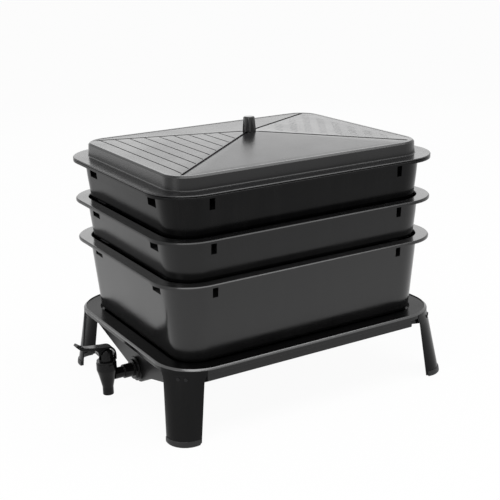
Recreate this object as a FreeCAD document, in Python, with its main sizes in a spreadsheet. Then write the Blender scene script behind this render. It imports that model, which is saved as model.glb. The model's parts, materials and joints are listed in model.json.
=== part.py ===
import FreeCAD, Part
import math
import os
import Sketcher
from FreeCAD import Placement, Rotation, Vector

# A stacking wormery: a collector base with tap on four splayed legs, a deep tray,
# two shallow trays and a hipped lid with a knob. Millimetres, +Z up, standing on z = 0.
doc = FreeCAD.newDocument("wormery")
sheet = doc.addObject("Spreadsheet::Sheet", "sizes")

# driving sizes, every one a named cell
cells = {
    # the stack's centre line, set so that the whole object's box is centred on x = 0
    "stackX": "40.8",
    # tray flange, outer half sizes and corner radius
    "flangeX": "300",
    "flangeY": "235.5",
    "flangeCorner": "79",
    "flangeDeep": "6",
    "flangeSkin": "2.5",
    "flangeEdge": "3",
    "flangeHollow": "=flangeDeep - flangeSkin",
    "edgeInX": "=flangeX - flangeEdge",
    "edgeInY": "=flangeY - flangeEdge",
    "edgeInCorner": "=flangeCorner - flangeEdge",
    # tray wall at the flange's top face
    "wallX": "278.8",
    "wallY": "214.3",
    "wallCorner": "62",
    "wallSlope": "0.0822",
    "wallThick": "2.5",
    "innerX": "=wallX - wallThick",
    "innerY": "=wallY - wallThick",
    "innerCorner": "=wallCorner - wallThick",
    "bottomRound": "14",
    "innerRound": "=bottomRound - wallThick",
    # how the trays stack
    "pitch": "79.5",
    "nest": "8",
    "seatGap": "0.3",
    "rimTop": "138",
    "lowerDeck": "289.5",
    "middleDeck": "=lowerDeck + pitch",
    "topDeck": "=middleDeck + pitch",
    "shallowDepth": "=pitch + nest - seatGap",
    "shallowFloor": "=shallowDepth - wallThick",
    "deepDepth": "=lowerDeck - rimTop + nest - seatGap",
    "deepFloor": "=deepDepth - wallThick",
    "shallowFootX": "=wallX - wallSlope * shallowDepth",
    "shallowFootY": "=wallY - wallSlope * shallowDepth",
    "shallowFootCorner": "=wallCorner - wallSlope * shallowDepth",
    "shallowInX": "=innerX - wallSlope * shallowFloor",
    "shallowInY": "=innerY - wallSlope * shallowFloor",
    "shallowInCorner": "=innerCorner - wallSlope * shallowFloor",
    "deepFootX": "=wallX - wallSlope * deepDepth",
    "deepFootY": "=wallY - wallSlope * deepDepth",
    "deepFootCorner": "=wallCorner - wallSlope * deepDepth",
    "deepInX": "=innerX - wallSlope * deepFloor",
    "deepInY": "=innerY - wallSlope * deepFloor",
    "deepInCorner": "=innerCorner - wallSlope * deepFloor",
    # stacking pockets, whose ceilings are the ledges that the next tray stands on
    "ledgeSkin": "2.5",
    "pocketTop": "=nest + ledgeSkin",
    "pocketLow": "33",
    "pocketIn": "24",
    "pocketDeep": "=pocketLow - pocketTop",
    "ledgeDeep": "=pocketLow + ledgeSkin - nest",
    "pocketEnd": "=wallX - pocketIn",
    "ledgeEnd": "=pocketEnd - ledgeSkin",
    "pocketSide": "=wallY - pocketIn",
    "ledgeSide": "=pocketSide - ledgeSkin",
    "ledgeRoot": "2.8",
    "pocketRoot": "=wallX - ledgeRoot",
    "pocketRootY": "=wallY - ledgeRoot",
    "endPocketFrom": "113",
    "endPocketTo": "145",
    "endLedgeFrom": "=endPocketFrom - ledgeSkin",
    "endLedgeTo": "=endPocketTo + ledgeSkin",
    "sidePocketFrom": "196.8",
    "sidePocketTo": "207.6",
    "sideLedgeFrom": "=sidePocketFrom - ledgeSkin",
    "sideLedgeTo": "=sidePocketTo + ledgeSkin",
    # holes in each tray floor
    "holeRadius": "3",
    "holeStep": "30",
    "holesAlong": "15",
    "holesAcross": "11",
    "holeSpanX": "=holeStep * (holesAlong - 1)",
    "holeSpanY": "=holeStep * (holesAcross - 1)",
    "holeFirstX": "=holeSpanX / 2",
    "holeFirstY": "=holeSpanY / 2",
    # lid skirt and roof
    "lidFlange": "2.2",
    "lidSkin": "2.5",
    "skirtX": "270",
    "skirtY": "205",
    "skirtCorner": "49",
    "skirtLean": "1.4",
    "skirtHigh": "26.7",
    "eavesX": "=skirtX - skirtLean",
    "eavesY": "=skirtY - skirtLean",
    "eavesCorner": "=skirtCorner - skirtLean",
    "eavesRound": "7",
    "roofHigh": "45.2",
    "padX": "18",
    "padY": "14.5",
    "padCorner": "5",
    "hollowX": "=skirtX - lidSkin",
    "hollowY": "=skirtY - lidSkin",
    "hollowCorner": "=skirtCorner - lidSkin",
    "hollowHigh": "=skirtHigh - lidSkin",
    "ceilingX": "=eavesX - lidSkin",
    "ceilingY": "=eavesY - lidSkin",
    "ceilingCorner": "=eavesCorner - lidSkin",
    "ceilingRound": "=eavesRound - lidSkin",
    "peakHigh": "=roofHigh - lidSkin",
    # lip under the lid that drops into the top tray
    "lipX": "273.5",
    "lipY": "209",
    "lipCorner": "56",
    "lipDeep": "6",
    "lipInX": "=lipX - lidSkin",
    "lipInY": "=lipY - lidSkin",
    "lipInCorner": "=lipCorner - lidSkin",
    # grooves in the roof
    "hipX": "244.8",
    "hipY": "184.9",
    "hipGroove": "2.5",
    "hipCut": "1.2",
    "lineGroove": "2",
    "lineCut": "0.8",
    "lineFirst": "239",
    "lineStep": "23.6",
    "lineCount": "9",
    "lineMargin": "4",
    # knob, its bolt and washer
    "knobFoot": "13.25",
    "knobNeck": "11.25",
    "knobShoulder": "26",
    "knobHigh": "30",
    "knobDome": "8",
    "fluteRadius": "4.5",
    "fluteCount": "8",
    "fluteIn": "2.6",
    "fluteAt": "=knobFoot + fluteRadius - fluteIn",
    "boltRadius": "2.5",
    "boltHole": "2.75",
    "boltDeep": "16",
    "boltHead": "4.5",
    "boltHeadHigh": "3",
    "washerRadius": "9",
    "washerThick": "1.2",
    "boltLong": "=washerThick + lidSkin + boltDeep",
    # collector base: rim, deck and the well for the lower tray
    "rimX": "300.4",
    "rimY": "239.2",
    "rimCorner": "85",
    "lipHigh": "10",
    "rimLow": "=rimTop - lipHigh",
    "rimBead": "3",
    "beadHigh": "1.6",
    "deckSkin": "3.4",
    "rimHollow": "=lipHigh - beadHigh - deckSkin",
    "lipRootX": "=rimX - rimBead",
    "lipRootY": "=rimY - rimBead",
    "lipRootCorner": "=rimCorner - rimBead",
    "wellX": "268.5",
    "wellY": "204",
    "wellCorner": "54",
    "wellOutX": "=wellX + sumpSkin",
    "wellOutY": "=wellY + sumpSkin",
    "wellOutCorner": "=wellCorner + sumpSkin",
    "ledgeX": "242",
    "ledgeY": "178",
    "ledgeCorner": "30",
    "seatTop": "=rimTop - nest",
    "seatHigh": "=nest - beadHigh",
    # collector base: sump
    "sumpSkin": "3",
    "sumpX": "283",
    "sumpY": "235",
    "sumpCutX": "222",
    "sumpCutY": "168",
    "sumpTapCutX": "236",
    "sumpTapCutY": "188",
    "sumpEdge": "113",
    "sumpTapEdge": "91",
    "sumpRoof": "120",
    "sumpWall": "=rimLow + rimHollow + 1 - sumpEdge",
    "sumpFlat": "25",
    "sumpTapTop": "112",
    "tapFaceX": "265",
    "sumpKneeX": "=tapFaceX + 0.3",
    "sumpKnee": "88",
    "sumpLow": "50",
    "sumpMiddle": "53.1",
    "farLow": "104",
    "endLow": "110",
    "sumpInX": "=sumpX - sumpSkin",
    "sumpInY": "=sumpY - sumpSkin",
    "sumpInCutX": "=sumpCutX - sumpSkin / 2",
    "sumpInCutY": "=sumpCutY - sumpSkin / 2",
    "sumpInTapCutX": "=sumpTapCutX - sumpSkin / 2",
    "sumpInTapCutY": "=sumpTapCutY - sumpSkin / 2",
    "sumpInEdge": "=sumpEdge + sumpSkin",
    "sumpInTapEdge": "=sumpTapEdge + sumpSkin",
    "cavityHigh": "=rimLow + rimHollow - sumpInEdge",
    "sumpInTapTop": "=sumpTapTop + 1.7 * sumpSkin - 2",
    "tapFaceInX": "=tapFaceX - sumpSkin",
    "sumpInKneeX": "=sumpKneeX - sumpSkin",
    "sumpInKnee": "=sumpKnee + sumpSkin",
    "sumpInLow": "=sumpLow + sumpSkin",
    "sumpInMiddle": "=sumpMiddle + sumpSkin",
    "farInLow": "=farLow + sumpSkin",
    "endInLow": "=endLow + sumpSkin",
    "wellRadius": "28",
    "wellLong": "48",
    "wellInRadius": "=wellRadius - sumpSkin",
    "wellInLong": "=wellLong - 2 * sumpSkin",
    "wallHole": "10.3",
    # legs: outer radius, wall and half chord of the channel at the top and at the foot, and
    # how far it stands out of the middle of the rim's corner at each
    "legTopRadius": "86",
    "legTopOut": "1",
    "legTopChord": "39.2",
    "legFootRadius": "37.4",
    "legFootChord": "33.5",
    "legWall": "3",
    "legSplay": "28.4",
    "legFall": "=(legSplay - legTopOut) / rimLow",
    "topCentre": "=legTopOut - legTopRadius",
    "topInner": "=legTopRadius - legWall",
    "topInnerChord": "=legTopChord * topInner / legTopRadius",
    "capSole": "2.5",
    "footInner": "=legFootRadius - legWall",
    "footInnerChord": "=legFootChord * footInner / legFootRadius",
    "footCentre": "=legSplay - legFall * capSole - legFootRadius",
    # foot caps
    "capHigh": "11",
    "capProud": "1.8",
    "capSine": "0.848",
    "capCentre": "=legSplay - legFootRadius",
    "capOuter": "=legFootRadius + capProud",
    "capInner": "=legFootRadius - legWall - capProud",
    "capChord": "=capOuter * capSine",
    "capInnerChord": "=capInner * capSine",
    "capBrimRadius": "38.7",
    "capBrimSine": "0.828",
    "capBrimCentre": "=legSplay - legFall * capHigh - capBrimRadius",
    "capBrimOuter": "=capBrimRadius + capProud",
    "capBrimInner": "=capBrimRadius - legWall - capProud",
    "capBrimChord": "=capBrimOuter * capBrimSine",
    "capBrimInnerChord": "=capBrimInner * capBrimSine",
    # leg screws and the bosses that they bite into
    "bossLow": "111",
    "bossHigh": "134",
    "bossGap": "0.1",
    "bossRadius": "33",
    "legScrewUp": "120",
    "legScrewAside": "7.25",
    "legScrewRadius": "2",
    "legScrewLong": "13",
    "legScrewHole": "2.2",
    "legScrewHead": "3.4",
    "legScrewHeadHigh": "2.2",
    "legScrewFace": "1.6",
    "legSpotRadius": "3.6",
    # tap, in a frame whose origin is where the spout's axis meets the inlet's axis
    "tapX": "329.5",
    "tapUp": "60",
    "spoutRadius": "10.6",
    "spoutLow": "37.5",
    "spoutStep": "22",
    "coneRadius": "16",
    "coneUp": "2",
    "barrelRadius": "19.5",
    "barrelWaist": "14",
    "barrelTop": "28",
    "spoutBore": "7.5",
    "chamberRadius": "13",
    "chamberLow": "4",
    "inletRadius": "10.8",
    "inletBore": "6.5",
    "inletFrom": "9",
    "neckTo": "33",
    "middleRadius": "13.5",
    "middleTo": "52",
    "collarRadius": "19.5",
    "collarTo": "57.5",
    "tapFlangeRadius": "24",
    "tapFlangeTo": "61.2",
    "tailRadius": "10",
    "tailTo": "92",
    "gasketRadius": "22",
    "gasketHole": "10.2",
    "gasketThick": "3",
    "innerWasherFrom": "67.5",
    "innerWasherRadius": "18",
    "innerWasherThick": "2",
    "nutPoint": "17.32",
    "nutSide": "8.66",
    "nutHalf": "15",
    "nutHole": "10.1",
    "nutLong": "9",
    # bonnet, lever, its pin and the plunger
    "bonnetPlug": "12.9",
    "bonnetPlugLow": "19",
    "bonnetDisc": "18.5",
    "bonnetDiscTop": "32",
    "hubRadius": "13.5",
    "hubSide": "49.8",
    "hubUpper": "11.2",
    "hubUpperHigh": "53.5",
    "hubCrown": "7.5",
    "hubCrownHigh": "56.6",
    "hubTop": "58.4",
    "slotHalf": "6.2",
    "slotWide": "=2 * slotHalf",
    "slotLow": "35.5",
    "pinUp": "44",
    "pinRadius": "2",
    "pinLong": "26",
    "leverBore": "2.05",
    "stubRadius": "6.5",
    "stubWide": "11.2",
    "leverWide": "16",
    "archOut": "19.2",
    "archIn": "15.2",
    "archTop": "=pinUp + archOut",
    "archCrown": "=pinUp + archIn",
    "archClear": "40",
    "archClearUp": "90",
    "archEndUp": "=pinUp - 17",
    "armMiddle": "22",
    "armMiddleTop": "65",
    "armMiddleLow": "57.5",
    "armBend": "46",
    "armBendTop": "69.6",
    "tipEnd": "57",
    "tipTop": "77.5",
    "tipEdge": "60.5",
    "tipLow": "74",
    "armHeel": "50",
    "armHeelLow": "61.5",
    "armLobe": "33",
    "armLobeLow": "56",
    "stubFoot": "5",
    "stubHead": "7",
    "stubTop": "61",
    "rodRadius": "3.5",
    "rodBore": "3.6",
    "rodTop": "33",
    "sealLow": "3.7",
    "sealTop": "1.3",
    "sealRadius": "10.5",
    "sealHole": "2.5",
    "discTop": "5.3",
    "discRadius": "9",
}

for row, (alias, text) in enumerate(cells.items(), start=1):
    sheet.set("A%d" % row, alias)
    sheet.set("B%d" % row, text)
    sheet.setAlias("B%d" % row, alias)
doc.recompute()


def size(name):
    """The value of a cell, or of minus a cell where the name starts with a minus sign."""
    return -float(sheet.get(name[1:])) if name.startswith("-") else float(sheet.get(name))


def cell(name):
    """The expression that reads a cell."""
    return "-sizes." + name[1:] if name.startswith("-") else "sizes." + name


def newBody(label):
    body = doc.addObject("PartDesign::Body", label)
    body.Label = label
    return body


def originPlane(body, role):
    return [item for item in body.Origin.OriginFeatures if item.Role == role][0]


def newSketch(body, name, role="XY_Plane", up=None):
    """A sketch on one of the body's own planes, moved along the plane's normal by the cell up."""
    sketch = body.newObject("Sketcher::SketchObject", body.Label + "_" + name)
    sketch.AttachmentSupport = [(originPlane(body, role), "")]
    sketch.MapMode = "FlatFace"
    if up:
        sketch.setExpression("AttachmentOffset.Base.z", cell(up))
    return sketch


def dimension(sketch, kind, name, *where):
    """A dimension of the sketch bound to a cell."""
    value = size(name[1:]) if name.startswith("2") else size(name)
    if name.startswith("2"):
        index = sketch.addConstraint(Sketcher.Constraint(kind, *where, 2 * value))
        sketch.setExpression("Constraints[%d]" % index, "2 * sizes." + name[1:])
    else:
        index = sketch.addConstraint(Sketcher.Constraint(kind, *where, value))
        sketch.setExpression("Constraints[%d]" % index, cell(name))


def roundedRectangle(sketch, halfX, halfY, corner):
    """Four lines and four tangent arcs about the origin, anticlockwise from the lower side."""
    a = size(halfX)
    b = size(halfY)
    r = size(corner)
    first = sketch.GeometryCount
    turns = [(1, -1, 270), (1, 1, 0), (-1, 1, 90), (-1, -1, 180)]
    ends = [((-a + r, -b), (a - r, -b)), ((a, -b + r), (a, b - r)),
            ((a - r, b), (-a + r, b)), ((-a, b - r), (-a, -b + r))]
    for (start, end), (sx, sy, angle) in zip(ends, turns):
        sketch.addGeometry(Part.LineSegment(Vector(*start, 0), Vector(*end, 0)), False)
        circle = Part.Circle(Vector(sx * (a - r), sy * (b - r), 0), Vector(0, 0, 1), r)
        low = math.radians(angle)
        sketch.addGeometry(Part.ArcOfCircle(circle, low, low + math.pi / 2), False)
    for k in range(8):
        here = first + k
        after = first + (k + 1) % 8
        sketch.addConstraint(Sketcher.Constraint("Tangent", here, 2, after, 1))
    for k in (0, 4):
        sketch.addConstraint(Sketcher.Constraint("Horizontal", first + k))
    for k in (2, 6):
        sketch.addConstraint(Sketcher.Constraint("Vertical", first + k))
    for k in (3, 5, 7):
        sketch.addConstraint(Sketcher.Constraint("Equal", first + 1, first + k))
    sketch.addConstraint(Sketcher.Constraint("Symmetric", first, 1, first + 4, 1, -1, 1))
    dimension(sketch, "DistanceX", "2" + halfX, first + 6, 1, first + 2, 1)
    dimension(sketch, "DistanceY", "2" + halfY, first, 1, first + 4, 1)
    dimension(sketch, "Radius", corner, first + 1)


def place(sketch, name, axis, geometry, point):
    """Sets one coordinate of a vertex: on the axis where the name is 0, else bound to a cell."""
    if name == "0":
        line = -2 if axis == "DistanceX" else -1
        sketch.addConstraint(Sketcher.Constraint("PointOnObject", geometry, point, line))
    else:
        dimension(sketch, axis, name, -1, 1, geometry, point)


def polygon(sketch, points):
    """A closed outline of straight lines whose vertices are pairs of cell names."""
    spots = [Vector(*[0.0 if name == "0" else size(name) for name in pair], 0) for pair in points]
    count = len(spots)
    first = sketch.GeometryCount
    for k in range(count):
        sketch.addGeometry(Part.LineSegment(spots[k], spots[(k + 1) % count]), False)
    for k in range(count):
        here = first + k
        sketch.addConstraint(Sketcher.Constraint("Coincident", here, 2, first + (k + 1) % count, 1))
        place(sketch, points[k][0], "DistanceX", here, 1)
        place(sketch, points[k][1], "DistanceY", here, 1)


def circle(sketch, radius, x="0", y="0"):
    centre = Vector(*[0.0 if name == "0" else size(name) for name in (x, y)], 0)
    index = sketch.addGeometry(Part.Circle(centre, Vector(0, 0, 1), size(radius)), False)
    place(sketch, x, "DistanceX", index, 3)
    place(sketch, y, "DistanceY", index, 3)
    dimension(sketch, "Radius", radius, index)


def settle(body, feature, change=0):
    """Recomputes, and tests that the feature is sound and adds or removes what it should."""
    before = body.Shape.Volume if body.Shape and not body.Shape.isNull() else 0.0
    body.Tip = feature
    doc.recompute()
    if "Invalid" in feature.State or "Error" in feature.State or not feature.Shape.isValid():
        raise RuntimeError("%s failed: %s" % (feature.Label, feature.State))
    if change * (body.Shape.Volume - before) < 0 or (change and abs(body.Shape.Volume - before) < 1e-3):
        raise RuntimeError("%s changed the volume the wrong way" % feature.Label)
    return feature


def pad(body, sketch, length, down=False, middle=False):
    feature = body.newObject("PartDesign::Pad", sketch.Label + "_pad")
    feature.Profile = sketch
    feature.setExpression("Length", cell(length))
    feature.Reversed = down
    feature.Midplane = middle
    sketch.Visibility = False
    return settle(body, feature, 1)


def pocket(body, sketch, length, up=False, middle=False):
    feature = body.newObject("PartDesign::Pocket", sketch.Label + "_pocket")
    feature.Profile = sketch
    feature.setExpression("Length", cell(length))
    feature.Reversed = up
    feature.Midplane = middle
    return settle(body, feature, -1)


def revolve(body, sketch, axis="V_Axis", cut=False):
    kind = "PartDesign::Groove" if cut else "PartDesign::Revolution"
    feature = body.newObject(kind, sketch.Label + "_turned")
    feature.Profile = sketch
    feature.ReferenceAxis = (sketch, [axis])
    feature.Angle = 360
    return settle(body, feature, -1 if cut else 1)


def loft(body, sections, cut=False, ruled=True):
    kind = "PartDesign::SubtractiveLoft" if cut else "PartDesign::AdditiveLoft"
    feature = body.newObject(kind, sections[0].Label + "_loft")
    feature.Profile = sections[0]
    feature.Sections = sections[1:]
    feature.Ruled = ruled
    return settle(body, feature, -1 if cut else 1)


def edgesWhere(shape, test):
    return ["Edge%d" % (k + 1) for k, edge in enumerate(shape.Edges) if test(edge)]


def atHeight(height, tolerance=0.01):
    return lambda edge: all(abs(vertex.Z - height) < tolerance for vertex in edge.Vertexes)


def fillet(body, edges, radius):
    base = body.Tip
    feature = body.newObject("PartDesign::Fillet", body.Label + "_round%d" % len(body.Group))
    feature.Base = (base, edges)
    feature.setExpression("Radius", cell(radius))
    return settle(body, feature)


def box(body, name, low, high, cut=False, turn=0.0, tilt=0.0, at=(0.0, 0.0, 0.0)):
    """A block between two corners, in a frame turned about Z, then tilted, and moved to at."""
    kind = "PartDesign::SubtractiveBox" if cut else "PartDesign::AdditiveBox"
    feature = body.newObject(kind, body.Label + "_" + name)
    feature.Length, feature.Width, feature.Height = [b - a for a, b in zip(low, high)]
    turned = Rotation(Vector(0, 0, 1), turn) * Rotation(Vector(0, 1, 0), tilt)
    feature.Placement = Placement(Vector(*at), turned) * Placement(Vector(*low), Rotation())
    return settle(body, feature, -1 if cut else 1)


def fourfold(body, features):
    """Repeats features in the other three quarters of the part."""
    across = body.newObject("PartDesign::Mirrored", body.Label + "_across")
    across.MirrorPlane = (originPlane(body, "YZ_Plane"), [""])
    along = body.newObject("PartDesign::Mirrored", body.Label + "_along")
    along.MirrorPlane = (originPlane(body, "XZ_Plane"), [""])
    both = body.newObject("PartDesign::MultiTransform", body.Label + "_fourfold")
    both.Originals = features
    both.Transformations = [across, along]
    return both


def sunkTray(label, deck, kind):
    """A drafted tray with a rounded floor edge, a flat flange with a turned-down edge, eight
    stacking pockets whose ceilings are the ledges for the next tray, and a floor of holes."""
    body = newBody(label)
    wall = newSketch(body, "wall")
    roundedRectangle(wall, "wallX", "wallY", "wallCorner")
    foot = newSketch(body, "foot", up="-" + kind + "Depth")
    roundedRectangle(foot, kind + "FootX", kind + "FootY", kind + "FootCorner")
    loft(body, [wall, foot])
    inside = newSketch(body, "inside")
    roundedRectangle(inside, "innerX", "innerY", "innerCorner")
    floor = newSketch(body, "floor", up="-" + kind + "Floor")
    roundedRectangle(floor, kind + "InX", kind + "InY", kind + "InCorner")
    loft(body, [inside, floor], cut=True)
    fillet(body, edgesWhere(body.Shape, atHeight(-size(kind + "Floor"))), "innerRound")
    fillet(body, edgesWhere(body.Shape, atHeight(-size(kind + "Depth"))), "bottomRound")

    flange = newSketch(body, "flange")
    roundedRectangle(flange, "flangeX", "flangeY", "flangeCorner")
    roundedRectangle(flange, "innerX", "innerY", "innerCorner")
    pad(body, flange, "flangeDeep", down=True)
    under = newSketch(body, "under", up="-flangeDeep")
    roundedRectangle(under, "edgeInX", "edgeInY", "edgeInCorner")
    roundedRectangle(under, "wallX", "wallY", "wallCorner")
    pocket(body, under, "flangeHollow", up=True)

    ledges = newSketch(body, "ledges", up="-nest")
    polygon(ledges, [("ledgeEnd", "endLedgeFrom"), ("pocketRoot", "endLedgeFrom"),
                     ("pocketRoot", "endLedgeTo"), ("ledgeEnd", "endLedgeTo")])
    polygon(ledges, [("sideLedgeFrom", "ledgeSide"), ("sideLedgeTo", "ledgeSide"),
                     ("sideLedgeTo", "pocketRootY"), ("sideLedgeFrom", "pocketRootY")])
    blocks = pad(body, ledges, "ledgeDeep", down=True)
    recesses = newSketch(body, "recesses", up="-pocketTop")
    polygon(recesses, [("pocketEnd", "endPocketFrom"), ("flangeX", "endPocketFrom"),
                       ("flangeX", "endPocketTo"), ("pocketEnd", "endPocketTo")])
    polygon(recesses, [("sidePocketFrom", "pocketSide"), ("sidePocketTo", "pocketSide"),
                       ("sidePocketTo", "flangeY"), ("sidePocketFrom", "flangeY")])
    holes = pocket(body, recesses, "pocketDeep")
    settle(body, fourfold(body, [blocks, holes]))

    drain = newSketch(body, "drain", up="-" + kind + "Depth")
    circle(drain, "holeRadius", "-holeFirstX", "-holeFirstY")
    hole = pocket(body, drain, "flangeDeep", up=True)
    body.Tip = gridOf(body, hole)
    doc.recompute()
    body.setExpression("Placement.Base.x", cell("stackX"))
    body.setExpression("Placement.Base.z", cell(deck))
    return body


def gridOf(body, feature):
    """Repeats a hole over the floor, along X and then along Y."""
    rows = []
    for role, count, reach in (("X_Axis", "holesAlong", "holeSpanX"), ("Y_Axis", "holesAcross", "holeSpanY")):
        row = body.newObject("PartDesign::LinearPattern", body.Label + "_" + role)
        row.Direction = (originPlane(body, role), [""])
        row.setExpression("Length", cell(reach))
        row.setExpression("Occurrences", cell(count))
        rows.append(row)
    grid = body.newObject("PartDesign::MultiTransform", body.Label + "_grid")
    grid.Originals = [feature]
    grid.Transformations = rows
    return settle(body, grid)


def hippedLid():
    """A flat flange, a drafted skirt with rounded eaves and a shallow hipped roof, hollow
    below, with a locating lip, four hip grooves and a ribbed end."""
    body = newBody("lid")
    skirt = newSketch(body, "skirt")
    roundedRectangle(skirt, "skirtX", "skirtY", "skirtCorner")
    eaves = newSketch(body, "eaves", up="skirtHigh")
    roundedRectangle(eaves, "eavesX", "eavesY", "eavesCorner")
    loft(body, [skirt, eaves])
    crown = newSketch(body, "crown", up="roofHigh")
    roundedRectangle(crown, "padX", "padY", "padCorner")
    loft(body, [eaves, crown])
    fillet(body, edgesWhere(body.Shape, atHeight(size("skirtHigh"))), "eavesRound")

    hollow = newSketch(body, "hollow")
    roundedRectangle(hollow, "hollowX", "hollowY", "hollowCorner")
    ceiling = newSketch(body, "ceiling", up="hollowHigh")
    roundedRectangle(ceiling, "ceilingX", "ceilingY", "ceilingCorner")
    loft(body, [hollow, ceiling], cut=True)
    peak = newSketch(body, "peak", up="peakHigh")
    roundedRectangle(peak, "padX", "padY", "padCorner")
    loft(body, [ceiling, peak], cut=True)
    fillet(body, edgesWhere(body.Shape, atHeight(size("hollowHigh"))), "ceilingRound")

    flange = newSketch(body, "flange")
    roundedRectangle(flange, "flangeX", "flangeY", "flangeCorner")
    roundedRectangle(flange, "hollowX", "hollowY", "hollowCorner")
    pad(body, flange, "lidFlange")
    lip = newSketch(body, "lip")
    roundedRectangle(lip, "lipX", "lipY", "lipCorner")
    roundedRectangle(lip, "lipInX", "lipInY", "lipInCorner")
    pad(body, lip, "lipDeep", down=True)

    bolt = newSketch(body, "bolt")
    circle(bolt, "boltHole")
    pocket(body, bolt, "roofHigh", up=True)

    slopeEnd = (size("roofHigh") - size("skirtHigh")) / (size("eavesX") - size("padX"))
    half = size("lineGroove") / 2
    for k in range(int(size("lineCount"))):
        x = size("lineFirst") - k * size("lineStep")
        reach = x * size("hipY") / size("hipX") - size("lineMargin")
        floor = size("roofHigh") - slopeEnd * (x - size("padX")) - size("lineCut")
        box(body, "line%d" % k, (-x - half, -reach, floor), (-x + half, reach, floor + 5), cut=True)
    turn = math.degrees(math.atan2(size("hipY"), size("hipX")))
    reach = math.hypot(size("hipX"), size("hipY"))
    start = math.hypot(size("padX"), size("padY"))
    drop = slopeEnd * (size("hipX") - size("padX"))
    tilt = math.degrees(math.atan2(drop, reach - start))
    half = size("hipGroove") / 2
    low = size("roofHigh") - size("hipCut")
    for k, angle in enumerate((turn, 180 - turn, 180 + turn, -turn)):
        box(body, "hip%d" % k, (start - 2, -half, 0), (reach, half, 5), cut=True,
            turn=angle, tilt=tilt, at=(0, 0, low + math.tan(math.radians(tilt)) * start))
    body.setExpression("Placement.Base.x", cell("stackX"))
    body.setExpression("Placement.Base.z", "sizes.topDeck + sizes.seatGap")
    return body


def lidKnob():
    """A turned knob with eight flutes, a domed top and a blind bore for its bolt."""
    body = newBody("lid_knob")
    side = newSketch(body, "side", role="XZ_Plane")
    polygon(side, [("0", "0"), ("knobFoot", "0"), ("knobNeck", "knobShoulder"),
                   ("knobDome", "knobHigh"), ("0", "knobHigh")])
    revolve(body, side)
    flute = newSketch(body, "flute")
    circle(flute, "fluteRadius", "fluteAt")
    cut = pocket(body, flute, "knobHigh", up=True)
    flutes = body.newObject("PartDesign::PolarPattern", "lid_knob_flutes")
    flutes.Originals = [cut]
    flutes.Axis = (originPlane(body, "Z_Axis"), [""])
    flutes.Angle = 360
    flutes.setExpression("Occurrences", cell("fluteCount"))
    settle(body, flutes)
    bore = newSketch(body, "bore")
    circle(bore, "boltRadius")
    pocket(body, bore, "boltDeep", up=True)
    body.setExpression("Placement.Base.x", cell("stackX"))
    body.setExpression("Placement.Base.z", "sizes.topDeck + sizes.seatGap + sizes.roofHigh")
    return body


def turned(label, points, base, cuts=()):
    """A piece turned about its own Z axis from an outline of cell names."""
    body = newBody(label)
    side = newSketch(body, "side", role="XZ_Plane")
    polygon(side, points)
    revolve(body, side)
    for k, outline in enumerate(cuts):
        inner = newSketch(body, "bore%d" % k, role="XZ_Plane")
        polygon(inner, outline)
        revolve(body, inner, cut=True)
    body.Placement = base
    return body


def lidFastening():
    """The bolt and washer that hold the knob from inside the lid."""
    roofUnder = size("topDeck") + size("seatGap") + size("peakHigh")
    turned("lid_knob_washer",
           [("boltHole", "0"), ("washerRadius", "0"), ("washerRadius", "-washerThick"),
            ("boltHole", "-washerThick")],
           Placement(Vector(size("stackX"), 0, roofUnder), Rotation()))
    turned("lid_knob_bolt",
           [("0", "boltLong"), ("boltRadius", "boltLong"), ("boltRadius", "0"), ("boltHead", "0"),
            ("boltHead", "-boltHeadHigh"), ("0", "-boltHeadHigh")],
           Placement(Vector(size("stackX"), 0, roofUnder - size("washerThick")), Rotation()))


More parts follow.
